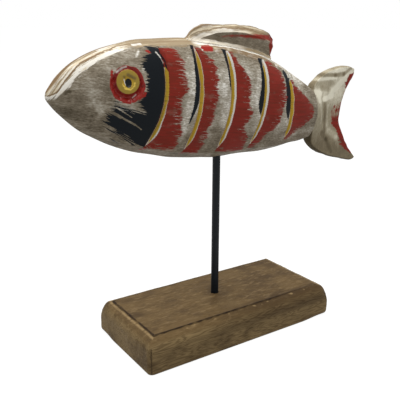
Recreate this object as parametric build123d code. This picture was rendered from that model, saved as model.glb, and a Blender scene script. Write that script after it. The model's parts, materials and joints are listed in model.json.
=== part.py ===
from build123d import *
import os
from math import radians, tan

# A carved wooden fish that turns on a steel rod in a stained wooden block.
# The origin is the middle of the block's underside. X runs from the fish's nose to its tail,
# Y runs away from the side that is seen, and Z is up. Lengths are in millimetres, angles in degrees.

# The block
BASE_LENGTH = 150.0
BASE_DEPTH = 71.0
BASE_HEIGHT = 22.8
BASE_ROUNDOVER = 6.5
BASE_LEDGE = 0.8
BASE_PANEL_STEP = 0.9
BASE_CORNER_RADIUS = 3.5
BASE_FOOT_RADIUS = 1.5

# The rod, a little off the block's middle
ROD_DIAMETER = 5.2
ROD_END_CHAMFER = 0.4
ROD_X = -1.8
ROD_Y = 1.2
ROD_DEPTH_IN_BASE = 15.0
ROD_TOP_BELOW_AXIS = 5.0
ROD_GLUE_CLEARANCE = 0.05
ROD_TURNING_CLEARANCE = 0.05

# The fish: its long axis passes over the rod and tilts nose up
FISH_AXIS_HEIGHT = 152.6
FISH_TILT = 6.5
BODY_LENGTH = 205.8
BODY_HEIGHT = 73.0
BODY_THICKNESS = 38.0
BACK_SLOPE = 22.0
BELLY_SLOPE = 24.0
SHOULDER_SLOPE = 48.0

# The gouged bands and the eye
GROOVE_DEPTH = 2.1
GROOVE_RUNOUT = 0.5
GROOVE_ANGLE = 94.0
EYE_RING_DIAMETER = 19.6
EYE_RING_WALL = 1.6
EYE_RING_DEPTH = 1.7
EYE_BOSS_DIAMETER = 13.2
EYE_BOSS_RISE = 1.5
EYE_DIMPLE_DIAMETER = 7.6
EYE_DIMPLE_WALL = 2.0
EYE_DIMPLE_DEPTH = 1.2
EYE_CUT_REACH = 5.0

# The fins and the joints that hold them
GLUE_GAP = 0.12
DORSAL_THICKNESS = 10.0
DORSAL_BEVEL_DROP = 4.6
DORSAL_BEVEL_WIDTH = 3.2
DORSAL_TONGUE_THICKNESS = 4.0
DORSAL_TONGUE_LENGTH = 44.0
DORSAL_TONGUE_HEIGHT = 14.0
TAIL_ROOT_THICKNESS = 9.8
TAIL_WAIST_THICKNESS = 6.4
TAIL_EDGE_THICKNESS = 5.2
TAIL_TENON_THICKNESS = 4.0
TAIL_TENON_LENGTH = 26.0
TAIL_TENON_HEIGHT = 14.0

# Shares of the body's length from the nose, and of its height from the long axis
ROD_SHARE = 0.553

# Body sections: place along the body, middle, height and thickness, each as a share of the whole,
# and the share of a section's thickness that is cut flat along the back and the belly
BODY_SECTION_SHARES = (
    (0.000, 0.012, 0.030, 0.040),
    (0.011, 0.019, 0.137, 0.175),
    (0.038, 0.035, 0.312, 0.350),
    (0.067, 0.046, 0.452, 0.485),
    (0.116, 0.048, 0.622, 0.632),
    (0.189, 0.051, 0.785, 0.789),
    (0.286, 0.047, 0.911, 0.926),
    (0.407, 0.050, 0.990, 1.000),
    (0.529, 0.053, 0.999, 1.000),
    (0.650, 0.056, 0.940, 0.968),
    (0.772, 0.027, 0.804, 0.874),
    (0.869, 0.005, 0.630, 0.753),
    (0.932, -0.019, 0.499, 0.653),
    (0.966, -0.030, 0.373, 0.537),
    (0.988, -0.038, 0.225, 0.358),
    (1.000, -0.041, 0.050, 0.080),
)
FLAT_SHARE = 0.55

# Bands: top, middle and bottom of each, as shares of the body's length and height
GROOVE_SHARES = (
    ((0.295, 0.468), (0.3125, 0.082), (0.275, -0.335)),
    ((0.407, 0.490), (0.427, 0.068), (0.398, -0.365)),
    ((0.521, 0.485), (0.541, 0.068), (0.510, -0.345)),
    ((0.664, 0.451), (0.672, 0.068), (0.641, -0.320)),
    ((0.783, 0.308), (0.796, 0.055), (0.788, -0.255)),
)
EYE_SHARES = (0.199, 0.151)

# Fin outlines, as shares of the body's length and height
DORSAL_CREST_SHARES = (
    (0.419, 0.570),
    (0.446, 0.644),
    (0.511, 0.689),
    (0.600, 0.719),
    (0.690, 0.702),
    (0.716, 0.688),
)
DORSAL_REAR_SHARES = ((0.730, 0.637), (0.714, 0.384))
DORSAL_FRONT_FOOT_SHARES = (0.422, 0.384)
DORSAL_TONGUE_MIDDLE_SHARES = (0.580, 0.523)
TAIL_UPPER_SHARES = ((0.915, 0.205), (0.943, 0.285), (0.989, 0.393), (1.045, 0.464), (1.106, 0.479))
TAIL_UPPER_TIP_SHARES = ((1.134, 0.472), (1.139, 0.430))
TAIL_TRAILING_SHARES = ((1.134, 0.362), (1.103, 0.170), (1.094, -0.040), (1.122, -0.205), (1.197, -0.407))
TAIL_LOWER_TIP_SHARES = ((1.212, -0.445), (1.186, -0.486))
TAIL_LOWER_SHARES = ((1.156, -0.479), (1.083, -0.453), (1.017, -0.401), (0.949, -0.285), (0.920, -0.230))
TAIL_PLAN_SHARES = (0.90, 1.06, 1.23)
TAIL_TENON_REAR_SHARES = (1.03, -0.041)

ROD_RADIUS = ROD_DIAMETER / 2
ROD_BOTTOM = BASE_HEIGHT - ROD_DEPTH_IN_BASE
ROD_TOP = FISH_AXIS_HEIGHT - ROD_TOP_BELOW_AXIS
FISH_PLACE = Location((ROD_X, ROD_Y, FISH_AXIS_HEIGHT)) * Rot(Y=FISH_TILT)
NEAR_SIDE = (0, -1, 0)


def at(shares):
    """A point of the fish's middle plane: along its long axis from the rod, and up from that axis."""
    along_share, up_share = shares
    return Vector((along_share - ROD_SHARE) * BODY_LENGTH, 0, up_share * BODY_HEIGHT)


def body_section(along_share, middle_share, height_share, thickness_share):
    """One section across the body: bulging flanks, and two flats each along the back and the belly."""
    half_height = height_share * BODY_HEIGHT / 2
    half_width = thickness_share * BODY_THICKNESS / 2
    crease = FLAT_SHARE * half_width
    back = half_height - crease * tan(radians(BACK_SLOPE))
    belly = crease * tan(radians(BELLY_SLOPE)) - half_height
    # A cubic curve reaches three quarters of the way to its two middle points
    bulge = (4 * half_width - crease) / 3
    drop = (bulge - crease) * tan(radians(SHOULDER_SLOPE))
    ridge, keel = (0, half_height), (0, -half_height)
    outline = Wire(
        [
            Edge.make_bezier((-crease, belly), (-bulge, belly + drop), (-bulge, back - drop), (-crease, back)),
            Edge.make_line((-crease, back), ridge),
            Edge.make_line(ridge, (crease, back)),
            Edge.make_bezier((crease, back), (bulge, back - drop), (bulge, belly + drop), (crease, belly)),
            Edge.make_line((crease, belly), keel),
            Edge.make_line(keel, (-crease, belly)),
        ]
    )
    plane = Plane(at((along_share, middle_share)), x_dir=(0, 1, 0), z_dir=(1, 0, 0))
    return plane * outline


def make_blank():
    """The plain carved body, before any cut."""
    return Solid.make_loft([body_section(*row) for row in BODY_SECTION_SHARES])


def near_surface(blank, shares):
    """The point and outward normal of the near flank, level with a point of the middle plane."""
    return blank.find_intersection_points(Axis(at(shares), NEAR_SIDE))[-1]


def groove_cutter(blank, top_shares, middle_shares, bottom_shares):
    """A V gouge along an arc that starts above the surface, dips into it and comes out again."""
    top, top_normal = near_surface(blank, top_shares)
    middle, middle_normal = near_surface(blank, middle_shares)
    bottom, bottom_normal = near_surface(blank, bottom_shares)
    path = Edge.make_three_point_arc(
        top + top_normal * GROOVE_RUNOUT,
        middle - middle_normal * GROOVE_DEPTH,
        bottom + bottom_normal * GROOVE_RUNOUT,
    )
    across = path.normal()
    centre = path.arc_center
    middle_radial = (path @ 0.5 - centre).normalized()
    start_radial = (path @ 0 - centre).normalized()
    opening = start_radial * middle_normal.dot(middle_radial) + across * middle_normal.dot(across)
    tangent = path % 0
    height = 2 * GROOVE_DEPTH + GROOVE_RUNOUT
    half_width = height * tan(radians(GROOVE_ANGLE / 2))
    plane = Plane(path @ 0, x_dir=opening.cross(tangent), z_dir=tangent)
    gouge = Polygon((0, 0), (half_width, height), (-half_width, height), align=None)
    return sweep(plane * gouge, path=path)


def round_pit(diameter, wall, depth, reach):
    """A round cutter with a sloped wall: as wide as its diameter at the surface, and narrower below it."""
    spread = reach * wall / depth
    return Cone(diameter / 2 - spread, diameter / 2 + spread, 2 * reach)


def eye_cutter(blank):
    """A ring of even depth round the eye's boss, which sits a little high in it, and the boss's dimple."""
    point, normal = near_surface(blank, EYE_SHARES)
    eye = Plane(point, x_dir=(1, 0, 0), z_dir=normal).location
    boss = eye * Pos(0, EYE_BOSS_RISE, 0)
    pan = eye * round_pit(EYE_RING_DIAMETER, EYE_RING_WALL, EYE_RING_DEPTH, EYE_CUT_REACH)
    core = boss * Cylinder(EYE_BOSS_DIAMETER / 2, 2 * EYE_CUT_REACH)
    # The flank itself, moved inwards, is the ring's floor
    floor = Pos(normal * -EYE_RING_DEPTH) * blank
    dimple = boss * round_pit(EYE_DIMPLE_DIAMETER, EYE_DIMPLE_WALL, EYE_DIMPLE_DEPTH, EYE_DIMPLE_DEPTH)
    return pan - core - floor + dimple


def slab(outline, thickness):
    """A flat board about the fish's middle plane."""
    return extrude(Pos(0, thickness / 2, 0) * make_face(outline), thickness, dir=NEAR_SIDE)


def dorsal_tongue(clearance):
    """The tongue under the dorsal fin, longer and deeper by a clearance for its slot."""
    middle = at(DORSAL_TONGUE_MIDDLE_SHARES)
    length = DORSAL_TONGUE_LENGTH + 2 * clearance
    height = DORSAL_TONGUE_HEIGHT + 2 * clearance
    return Pos(middle) * Box(length, DORSAL_TONGUE_THICKNESS, height)


def tail_tenon(clearance):
    """The tenon in front of the tail, longer and taller by a clearance for its mortise."""
    rear = at(TAIL_TENON_REAR_SHARES)
    length = TAIL_TENON_LENGTH + clearance
    height = TAIL_TENON_HEIGHT + 2 * clearance
    from_rear = (Align.MAX, Align.CENTER, Align.CENTER)
    return Pos(rear) * Box(length, TAIL_TENON_THICKNESS, height, align=from_rear)


def make_fish_body(blank):
    near_cuts = [groove_cutter(blank, *shares) for shares in GROOVE_SHARES] + [eye_cutter(blank)]
    far_cuts = [mirror(cut, Plane.XZ) for cut in near_cuts]
    body = blank - near_cuts - far_cuts - dorsal_tongue(GLUE_GAP) - tail_tenon(GLUE_GAP)
    bore = Cylinder(
        ROD_RADIUS + ROD_TURNING_CLEARANCE,
        ROD_TOP - BASE_HEIGHT,
        align=(Align.CENTER, Align.CENTER, Align.MAX),
    )
    return FISH_PLACE * body - Pos(ROD_X, ROD_Y, ROD_TOP) * bore


def make_dorsal_fin(blank):
    crest = Edge.make_spline([at(shares) for shares in DORSAL_CREST_SHARES])
    rear_corner, rear_foot = (at(shares) for shares in DORSAL_REAR_SHARES)
    rest = Polyline(crest @ 1, rear_corner, rear_foot, at(DORSAL_FRONT_FOOT_SHARES), crest @ 0)
    board = slab([crest] + rest.edges(), DORSAL_THICKNESS)
    for top_edge in board.edges().filter_by(GeomType.BSPLINE):
        flank = board.faces().filter_by(Axis.Y).sort_by_distance(top_edge.center())[0]
        board = chamfer(
            board.edges().filter_by(GeomType.BSPLINE).sort_by_distance(top_edge.center())[0],
            DORSAL_BEVEL_DROP,
            DORSAL_BEVEL_WIDTH,
            reference=flank,
        )
    fin = board - Pos(0, 0, GLUE_GAP) * blank + dorsal_tongue(0)
    return FISH_PLACE * fin


def make_tail_fin(blank):
    upper = Edge.make_spline([at(shares) for shares in TAIL_UPPER_SHARES])
    trailing = Edge.make_spline([at(shares) for shares in TAIL_TRAILING_SHARES])
    lower = Edge.make_spline([at(shares) for shares in TAIL_LOWER_SHARES])
    upper_tip = Polyline(upper @ 1, *[at(shares) for shares in TAIL_UPPER_TIP_SHARES], trailing @ 0)
    lower_tip = Polyline(trailing @ 1, *[at(shares) for shares in TAIL_LOWER_TIP_SHARES], lower @ 0)
    root = Edge.make_line(lower @ 1, upper @ 0)
    outline = [upper] + upper_tip.edges() + [trailing] + lower_tip.edges() + [lower, root]
    board = slab(outline, TAIL_ROOT_THICKNESS)
    front, waist, rear = (at((share, 0)).X for share in TAIL_PLAN_SHARES)
    near = Edge.make_three_point_arc(
        (front, -TAIL_ROOT_THICKNESS / 2),
        (waist, -TAIL_WAIST_THICKNESS / 2),
        (rear, -TAIL_EDGE_THICKNESS / 2),
    )
    far = mirror(near, Plane.XZ)
    plan = make_face([near, far, Edge.make_line(near @ 0, far @ 0), Edge.make_line(near @ 1, far @ 1)])
    board = board & extrude(plan, BODY_HEIGHT, both=True)
    fin = board - Pos(GLUE_GAP, 0, 0) * blank + tail_tenon(0)
    return FISH_PLACE * fin


def make_support_rod():
    rod = Cylinder(ROD_RADIUS, ROD_TOP - ROD_BOTTOM, align=(Align.CENTER, Align.CENTER, Align.MIN))
    rod = chamfer(rod.edges().filter_by(GeomType.CIRCLE), ROD_END_CHAMFER)
    return Pos(ROD_X, ROD_Y, ROD_BOTTOM) * rod


def make_base_block():
    on_floor = (Align.CENTER, Align.CENTER, Align.MIN)
    shoulder = BASE_HEIGHT - BASE_PANEL_STEP
    core = extrude(RectangleRounded(BASE_LENGTH, BASE_DEPTH, BASE_CORNER_RADIUS), shoulder)
    core = fillet(core.faces().sort_by(Axis.Z)[0].edges(), BASE_FOOT_RADIUS)
    rounded = Box(BASE_LENGTH, BASE_DEPTH, shoulder, align=on_floor)
    rounded = fillet(rounded.faces().sort_by(Axis.Z)[-1].edges(), BASE_ROUNDOVER)
    inset = BASE_ROUNDOVER + BASE_LEDGE
    panel = Box(BASE_LENGTH - 2 * inset, BASE_DEPTH - 2 * inset, BASE_HEIGHT / 2, align=on_floor)
    hole = Cylinder(ROD_RADIUS + ROD_GLUE_CLEARANCE, BASE_HEIGHT, align=on_floor)
    block = (core & rounded) + Pos(0, 0, BASE_HEIGHT / 2) * panel
    return block - Pos(ROD_X, ROD_Y, ROD_BOTTOM) * hole


blank = make_blank()
nodes = {
    "base_block": make_base_block(),
    "support_rod": make_support_rod(),
    "fish_body": make_fish_body(blank),
    "dorsal_fin": make_dorsal_fin(blank),
    "tail_fin": make_tail_fin(blank),
}
os.makedirs("parts", exist_ok=True)
for name, shape in nodes.items():
    export_step(shape, f"parts/{name}.step")
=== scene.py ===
import json
import math

import bpy
import numpy as np
from bpy.props import FloatProperty, FloatVectorProperty, PointerProperty
from mathutils import Matrix, Vector

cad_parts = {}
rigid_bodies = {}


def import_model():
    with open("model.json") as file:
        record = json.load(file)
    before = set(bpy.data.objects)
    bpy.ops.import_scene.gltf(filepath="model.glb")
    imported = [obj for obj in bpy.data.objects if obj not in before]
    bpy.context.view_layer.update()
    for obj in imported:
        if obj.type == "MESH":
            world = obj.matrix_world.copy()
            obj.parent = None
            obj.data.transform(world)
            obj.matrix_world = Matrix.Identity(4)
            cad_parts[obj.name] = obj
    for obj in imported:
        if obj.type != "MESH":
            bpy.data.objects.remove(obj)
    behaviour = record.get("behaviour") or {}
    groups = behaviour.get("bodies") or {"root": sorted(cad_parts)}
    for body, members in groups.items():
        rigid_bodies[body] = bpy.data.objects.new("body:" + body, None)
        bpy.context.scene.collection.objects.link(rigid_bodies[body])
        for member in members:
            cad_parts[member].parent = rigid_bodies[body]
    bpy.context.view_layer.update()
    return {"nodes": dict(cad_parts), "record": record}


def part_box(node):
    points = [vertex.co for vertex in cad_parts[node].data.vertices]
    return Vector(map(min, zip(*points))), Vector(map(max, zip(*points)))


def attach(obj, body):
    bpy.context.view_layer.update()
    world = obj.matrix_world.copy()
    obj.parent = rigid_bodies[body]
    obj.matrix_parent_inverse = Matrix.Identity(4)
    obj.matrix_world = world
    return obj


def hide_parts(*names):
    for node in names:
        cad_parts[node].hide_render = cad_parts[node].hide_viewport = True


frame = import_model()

bl_info = {
    "name": "Carved Fish on a Stand",
    "version": (1, 0, 0),
    "blender": (4, 5, 0),
    "location": "View3D > Sidebar > Carved Fish",
    "description": "Carves, paints and stages a wooden fish on a rod and a stained block",
    "category": "Object",
}

# The frame: the box of the solids, and the rod's axis that the fish turns on
SWIVEL = frame["record"]["behaviour"]["joints"][0]
ROD_X, ROD_Y = SWIVEL["pos_m"][:2]
FISH_BODY = SWIVEL["child"]
STAND_BODY = SWIVEL["parent"]
MM = 0.001
TINY = 1e-9

# The fish is shaped in millimetres in its own frame: along from the rod, across, and up from its axis
ROD_SHARE = 0.553
# Sections of the body: place along it, middle, height and thickness, as shares of the body's sizes
BODY_SECTION_SHARES = (
    (0.000, 0.012, 0.030, 0.040),
    (0.011, 0.019, 0.137, 0.175),
    (0.038, 0.035, 0.312, 0.350),
    (0.067, 0.046, 0.452, 0.485),
    (0.116, 0.048, 0.622, 0.632),
    (0.189, 0.051, 0.785, 0.789),
    (0.286, 0.047, 0.911, 0.926),
    (0.407, 0.050, 0.990, 1.000),
    (0.529, 0.053, 0.999, 1.000),
    (0.650, 0.056, 0.940, 0.968),
    (0.772, 0.027, 0.804, 0.874),
    (0.869, 0.005, 0.630, 0.753),
    (0.932, -0.019, 0.499, 0.640),
    (0.948, -0.026, 0.410, 0.468),
    (0.960, -0.030, 0.285, 0.275),
    (0.968, -0.031, 0.165, 0.150),
    (0.972, -0.031, 0.060, 0.055),
)
SECTION_PLACES, SECTION_MIDDLES, SECTION_HEIGHTS, SECTION_WIDTHS = np.array(BODY_SECTION_SHARES).T
# Each section has flats along the back and the belly, this share of its thickness, and bulging flanks
FLAT_SHARE = 0.55
BACK_SLOPE = math.radians(22)
BELLY_SLOPE = math.radians(24)
SHOULDER_SLOPE = math.radians(48)
LEAST_FACET = 0.1
# Unevenness of handwork: height, wavelength and seed of each layer, which fades where the body is thinner
BODY_RELIEF = ((0.2, 22.0, 4),)
TIP_HALF_WIDTH = 6.0
WOBBLE_WAVES = 14
WOBBLE_LENGTHS = (0.7, 1.6)

# Rings round the body: the parts of each ring, in order, and the steps and the side of each of its points
NEAR_FLANK, NEAR_BACK, FAR_BACK, FAR_FLANK, FAR_BELLY, NEAR_BELLY = range(6)
RING_COUNTS = {NEAR_FLANK: 98, NEAR_BACK: 14, FAR_BACK: 14, FAR_FLANK: 98, FAR_BELLY: 10, NEAR_BELLY: 10}
RING_PARTS = np.repeat(list(RING_COUNTS), list(RING_COUNTS.values()))
RING_STEPS = np.concatenate([np.arange(count) / count for count in RING_COUNTS.values()])
RING_SIDES = np.where(np.isin(RING_PARTS, (NEAR_FLANK, NEAR_BACK, NEAR_BELLY)), -1, 1)
ON_FLANK = np.isin(RING_PARTS, (NEAR_FLANK, FAR_FLANK))
ON_BACK = np.isin(RING_PARTS, (NEAR_BACK, FAR_BACK))
RUNS_INWARD = np.isin(RING_PARTS, (NEAR_BACK, FAR_BELLY))
# Gaps between the rings in millimetres: the widest, and those at the bands, the eye and the tips
RING_GAP = 0.8
BAND_GAP = 0.3
BAND_GAP_REACH = (3.0, 6.0)
EYE_GAP = 0.42
EYE_GAP_REACH = (11.0, 14.0)
TIP_GAP = 0.05
TIP_GAP_GROWTH = 0.1
TIP_SHARE = 0.0004
PACING_STEPS = 4000
# Places along the body, as shares, ahead of which and behind which the rings are straight
BOW_ENDS = (0.06, 0.96)
BOW_PASSES = 2

# Bands: top, middle and bottom of each gouge, as shares of the body's length and height
GROOVE_SHARES = (
    ((0.295, 0.468), (0.3125, 0.082), (0.277, -0.335)),
    ((0.407, 0.490), (0.427, 0.068), (0.405, -0.362)),
    ((0.521, 0.485), (0.541, 0.068), (0.522, -0.340)),
    ((0.664, 0.451), (0.672, 0.068), (0.650, -0.310)),
    ((0.786, 0.308), (0.797, 0.055), (0.797, -0.245)),
)
GROOVE_OVERRUN = 0.04
# How abruptly the gouge and its ochre close at the ends: a higher power closes later
GOUGE_POWER = 7
OCHRE_POWER = 9
OCHRE_OPENING = 1.02
# Millimetres behind the gouge's bottom where the ochre starts at a band's ends, and how much nearer between
OCHRE_START = 0.6
OCHRE_NEARER = 0.5
# Height up each band where its ochre ends, and the share over which it fades
OCHRE_TOP = (0.74, 1.0, 1.0, 1.0, 1.0)
OCHRE_FADE = 0.1
# How far up the gouge's rear wall the ochre goes
OCHRE_SHARE = (0.7, 0.74, 0.64, 0.5, 0.8)
# Width of the pale rim behind each band, at its bottom, middle and top, and the heights where it starts
RIM_WIDTH = ((0.9, 0.0, -0.9), (0.35, 0.15, 0.2), (0.6, 0.9, 1.2), (0.5, 1.0, 1.3), (0.3, 0.15, 0.1))
RIM_FOOT = (-0.01, 0.13)
RIM_SHORT = 0.6
# Reach of the red behind each band, in millimetres, at even steps from its bottom to its top
RED_REACH = (
    (18.0, 15.5, 12.5, 10.0, 8.5, 12.0, 10.6, 10.3, 6.0),
    (9.0, 7.8, 7.4, 9.2, 9.8, 9.2, 9.2, 8.6, 1.5),
    (20.0, 18.0, 12.5, 15.0, 12.0, 13.0, 12.4, 5.0, 1.5),
    (3.5, 7.0, 13.2, 15.4, 16.0, 15.9, 15.9, 13.0, 2.0),
    (1.0, 7.0, 14.5, 19.0, 20.3, 17.5, 11.0, 3.0, 0.3),
)
# Millimetres ahead of the gouge's bottom where the red starts, and its lowest and highest place up a band
RED_START = 0.2
RED_ENDS = (-0.03, 0.98)
# Reach of the black ahead of the last four bands, at its bottom, low, middle, high and top
BLACK_REACH = (
    (3.9, 3.9, 3.2, 2.4, 0.6),
    (-6.0, -6.0, -1.5, 1.3, 1.4),
    (-6.0, -3.0, 4.0, 2.7, 2.2),
    (-6.0, -0.5, 4.4, 4.4, 3.6),
)
# How far the black stands clear of each of these bands, at the same heights
BLACK_CLEAR = (
    (8.0, 5.6, 1.8, 0.0, 0.0),
    (0.0, 0.0, 0.0, 0.0, 0.0),
    (4.0, 3.0, 1.6, 0.0, 0.0),
    (5.0, 3.4, 2.0, 0.7, 0.0),
)
# Millimetres behind the gouge's bottom where the black stops, and its lowest and highest place up a band
BLACK_STOP = 0.3
BLACK_ENDS = (0.02, 1.0)
# Millimetres that a band's whole height counts for, at the ends of its ochre and of its red and black
OCHRE_RUN = 60
PAINT_RUN = 90
# How much steeper a crisp edge of paint is than a ragged one, and a margin that is far outside any paint
CRISP = 8
FAR_OUTSIDE = -50.0
# The bands' edges waver: height, wavelength and first seed, and how far apart the bands are in the pattern
BAND_WAVER = (0.12, 9.0, 8)
BAND_SHIFT = 40.0

# Outline of the black ahead of the first band, in millimetres of the fish's own frame: along, up
BLACK_HEAD = (
    (-59.9, 32.0), (-58.8, 29.6), (-61.5, 26.8), (-64.4, 24.6), (-64.4, 20.8), (-62.3, 17.6), (-61.4, 10.2),
    (-62.5, 7.0), (-66.4, 1.4),
    (-61.0, -4.6), (-69.0, -2.9), (-79.0, -0.5), (-82.0, -5.3), (-83.4, -11.6), (-76.4, -16.5),
    (-66.9, -21.5), (-57.0, -24.6), (-44.0, -24.6), (-40.0, 5.0), (-46.0, 33.0),
)
# Margin of that outline down to which its own raggedness holds
BLACK_HEAD_REACH = -12
# Strokes of a loaded brush, then painted highlights and shade on the eye: start, end, half width, all in the
# same millimetres
BARE_GAPS = (
    ((-82.5, -4.4), (-75.0, -7.5), 1.0),
    ((-75.0, -7.5), (-66.5, -11.4), 0.65),
    ((-66.5, -11.4), (-62.0, -13.9), 0.25),
    ((-78.4, -2.2), (-73.4, -4.8), 0.35),
    ((-73.4, -4.8), (-69.0, -7.1), 0.2),
)
RED_SLIPS = (
    ((-81.8, 17.2), (-82.2, 12.4), 0.6),
    ((-62.8, 6.3), (-66.0, 3.2), 0.7),
    ((-74.5, 1.6), (-71.0, 1.0), 0.7),
    ((-22.6, 35.0), (-17.4, 35.3), 1.6),
    ((-60.4, 29.7), (-59.4, 29.2), 0.7),
)
BLACK_SLIPS = (
    ((43.1, 25.2), (44.0, 23.4), 1.9),
    ((-53.2, 31.4), (-50.0, 25.8), 0.35),
    ((-50.0, 25.8), (-48.5, 17.6), 0.28),
)
WHITE_SLIPS = (((-55.2, 29.5), (-50.8, 24.4), 0.32), ((-67.0, 32.4), (-62.0, 33.2), 0.4))
# Painted highlights: white glints by the pupil and on the ring, and light caught on the dimple's lower rim
EYE_GLINTS = (((-75.0, 13.4), (-74.5, 11.6), 0.25), ((-74.5, 11.6), (-73.9, 10.2), 0.15))
RING_GLINTS = (
    ((-79.4, 16.8), (-76.0, 19.4), 0.25),
    ((-76.0, 19.4), (-73.8, 20.2), 0.1),
    ((-67.6, 5.6), (-69.4, 3.7), -0.05),
)
GOLD_GLINTS = (
    ((-76.0, 10.6), (-74.2, 8.5), 0.3),
    ((-74.2, 8.5), (-71.2, 8.0), 0.45),
    ((-71.2, 8.0), (-69.2, 10.2), 0.3),
    ((-69.2, 10.2), (-69.0, 11.9), 0.35),
)
# A dark spot on the boss, and painted shade above the pupil where the dimple's upper wall lies in shade
EYE_SHADES = (((-75.3, 14.8), (-74.7, 14.2), 0.35), ((-73.0, 16.0), (-69.2, 14.4), 0.7))
# Lighter and darker places of the wash: start, end, half width and change
BODY_WASH = (
    ((-94.0, 5.0), (-84.0, -0.8), 4.5, 0.16),
    ((-90.0, 0.5), (-86.0, -6.0), 1.4, 0.12),
    ((-86.0, -6.0), (-89.0, -11.0), 1.4, 0.1),
    ((-78.0, -1.0), (-70.0, -2.5), 2.5, 0.2),
    ((-102.0, -6.5), (-92.0, -8.5), 4.0, -0.22),
    ((-106.0, 1.0), (-96.0, 2.0), 3.0, -0.08),
    ((-105.2, 3.9), (-103.6, 4.6), 0.8, -0.42),
    ((58.0, -14.0), (77.0, -11.0), 2.0, 0.16),
    ((-65.5, 29.4), (-67.4, 26.2), 0.5, 0.4),
    ((-63.4, 9.0), (-63.0, 20.0), 1.4, 0.22),
    ((-35.0, -18.0), (-33.0, 12.0), 2.2, 0.16),
    ((-9.5, 6.0), (-8.0, 22.0), 2.4, 0.14),
    ((-13.0, -12.0), (-12.0, 2.0), 2.6, -0.16),
    ((17.0, 6.0), (17.5, 24.0), 2.0, 0.14),
    ((16.0, -16.0), (16.5, 0.0), 2.4, -0.1),
)
# Pale paint on the head: along, its lower edge, and the line of bare wood in it
HEAD_PALE = (
    (-113.0, -0.6, 1.0), (-109.1, 0.7, 3.7), (-107.3, 3.5, 6.9), (-105.0, 5.6, 10.5), (-103.0, 6.8, 13.2),
    (-101.4, 11.0, 15.2), (-99.8, 13.0, 17.2), (-96.8, 15.6, 20.0), (-93.5, 17.8, 22.2), (-89.8, 21.0, 24.0),
    (-84.3, 24.2, 27.0), (-77.8, 27.0, 30.2), (-70.6, 30.4, 33.0), (-66.0, 31.6, 34.0),
)
# Edge of the pale grey on the rear of the back: along, up
REAR_PALE = ((44.0, 24.5), (53.3, 19.3), (55.3, 16.6), (62.6, 12.2), (70.4, 7.8), (78.0, 2.0), (84.0, -4.0))

# Zones of the fish: each row names a measure and the values between which the zone fades in from 0 to 1
HEAD = (("along", -66, -78),)
NOSE = (("along", -84, -100),)
REAR = (("along", 36, 46),)
REAR_END = (("along", 44, 50),)
BESIDE_FIN = (("along", -30, -22), ("along", 40, 34))
BLACK_CHEEK = (("along", -62, -72), ("up", 4, -3))
LEANING_CHEEK = (("up", 4, -6), ("along", -44, -58))
# Values of the body's paint: what they are all over, then what each zone adds
BODY_VALUES = {
    "wash": (
        0.36,
        (0.32, (("along", -54, -42), ("along", 66, 54), ("up", -24, -4))),
        (-0.04, (("up", -6, -22),)),
        (0.08, (("along", -50, -60), ("up", 6, 14))),
        (-0.3, (("from_crease", -10, -2.5), ("along", -52, -44), ("along", 46, 40))),
        (0.12, (*REAR_END, ("over_rear", -0.4, 0.8))),
        (-0.4, (*REAR_END, ("from_crest", 1.6, 0.6))),
    ),
    "pale_cream": (-0.24, (0.28, HEAD), (0.34, REAR)),
    "pale_white": (0.0, (0.86, HEAD), (0.6, REAR), (1.0, BESIDE_FIN)),
    "pale_ragged": (3.2, (0.9, NOSE), (-1.9, HEAD), (-1.9, BESIDE_FIN)),
}
BLACK_RAGGED = 0.5
HEAD_RAGGED = (2.4, (2.0, BLACK_CHEEK))
# Line of bare wood in the pale paint: its share of the way from crest to edge, and its strengths
LINE_SHARE = 0.46
LINE_LEAST = 0.4
LINE_BESIDE_FIN = 0.3
# Least millimetres that are counted between that line and the crest
LINE_ROOM = 0.3
# Beside the fin the pale paint comes further down the shoulder, and its line lies this far from the crest
FIN_SHOULDER = 2.6
SEAM_STEP = 0.5
SEAM_REACH = (9.0, 8.5)
# The pale paint stops at the rear end, and the strokes of the cheek lean
REAR_END_DROP = 30
CHEEK_LEAN = 0.45
CHEEK_LEAN_FROM = -50
# How far the two sides lie from the middle in the patterns, so that their strokes differ
SIDE_SHIFT = 40.0
# Strokes of the wash: half widths out to nothing, with a blur in millimetres, and out to full strength
MARK_OUTER = 1.5
MARK_BLUR = 0.4
MARK_INNER = 0.4

# The eye: its place as shares of the body, the uneven ring's waves, and its walls in millimetres
EYE_SHARES = (0.199, 0.151)
RING_WAVES = ((0.022, 6, 0.6), (0.02, 3, 2.0), (0.01, 11, 0.0))
BOSS_WALL = 1.5
RING_WALL = 2.0
RING_RELIEF = ((0.24, 2.2, 71),)
RING_RELIEF_DEPTH = 0.5
DIMPLE_FLOOR = 0.45
PUPIL_PLACE = (0.4, 0.8)
PUPIL_STRETCH = (0.98, 1.28)

# The dorsal fin in millimetres of the fish's own frame, from front to rear: along, up
DORSAL_CREST = (
    (-28.5, 40.2), (-25.5, 44.6), (-21.5, 47.0), (-17.5, 48.6), (-8.7, 50.3),
    (0.4, 51.4), (9.7, 52.3), (19.5, 52.2), (28.5, 51.2), (34.2, 50.0), (38.6, 46.8),
)
DORSAL_SEAT = (
    (-31.0, 37.0), (-27.0, 37.0), (-22.0, 37.0), (-17.5, 37.0), (-8.7, 37.0),
    (0.0, 36.5), (9.0, 35.5), (18.5, 34.0), (26.0, 32.0), (30.0, 31.0), (33.0, 30.0),
)
DORSAL_HALF_THICKNESS = (1.6, 2.6, 3.6, 4.4, 5.0, 5.2, 5.2, 5.1, 4.8, 4.4, 3.8)
DORSAL_BEVEL_SHARES = (0.05, 0.12, 0.3, 0.44, 0.6, 0.66, 0.69, 0.7, 0.7, 0.7, 0.72)
DORSAL_CREST_HALF = 0.9
DORSAL_COLUMNS = 150
DORSAL_FLANK_ROWS = 26
DORSAL_BEVEL_ROWS = 20
DORSAL_RELIEF = ((0.28, 13.0, 31), (0.1, 5.0, 32))
# Filler at the fin's root flares out onto the back
FILLER_FLARE = 2.0
FILLER_HEIGHT = 2.6
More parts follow.
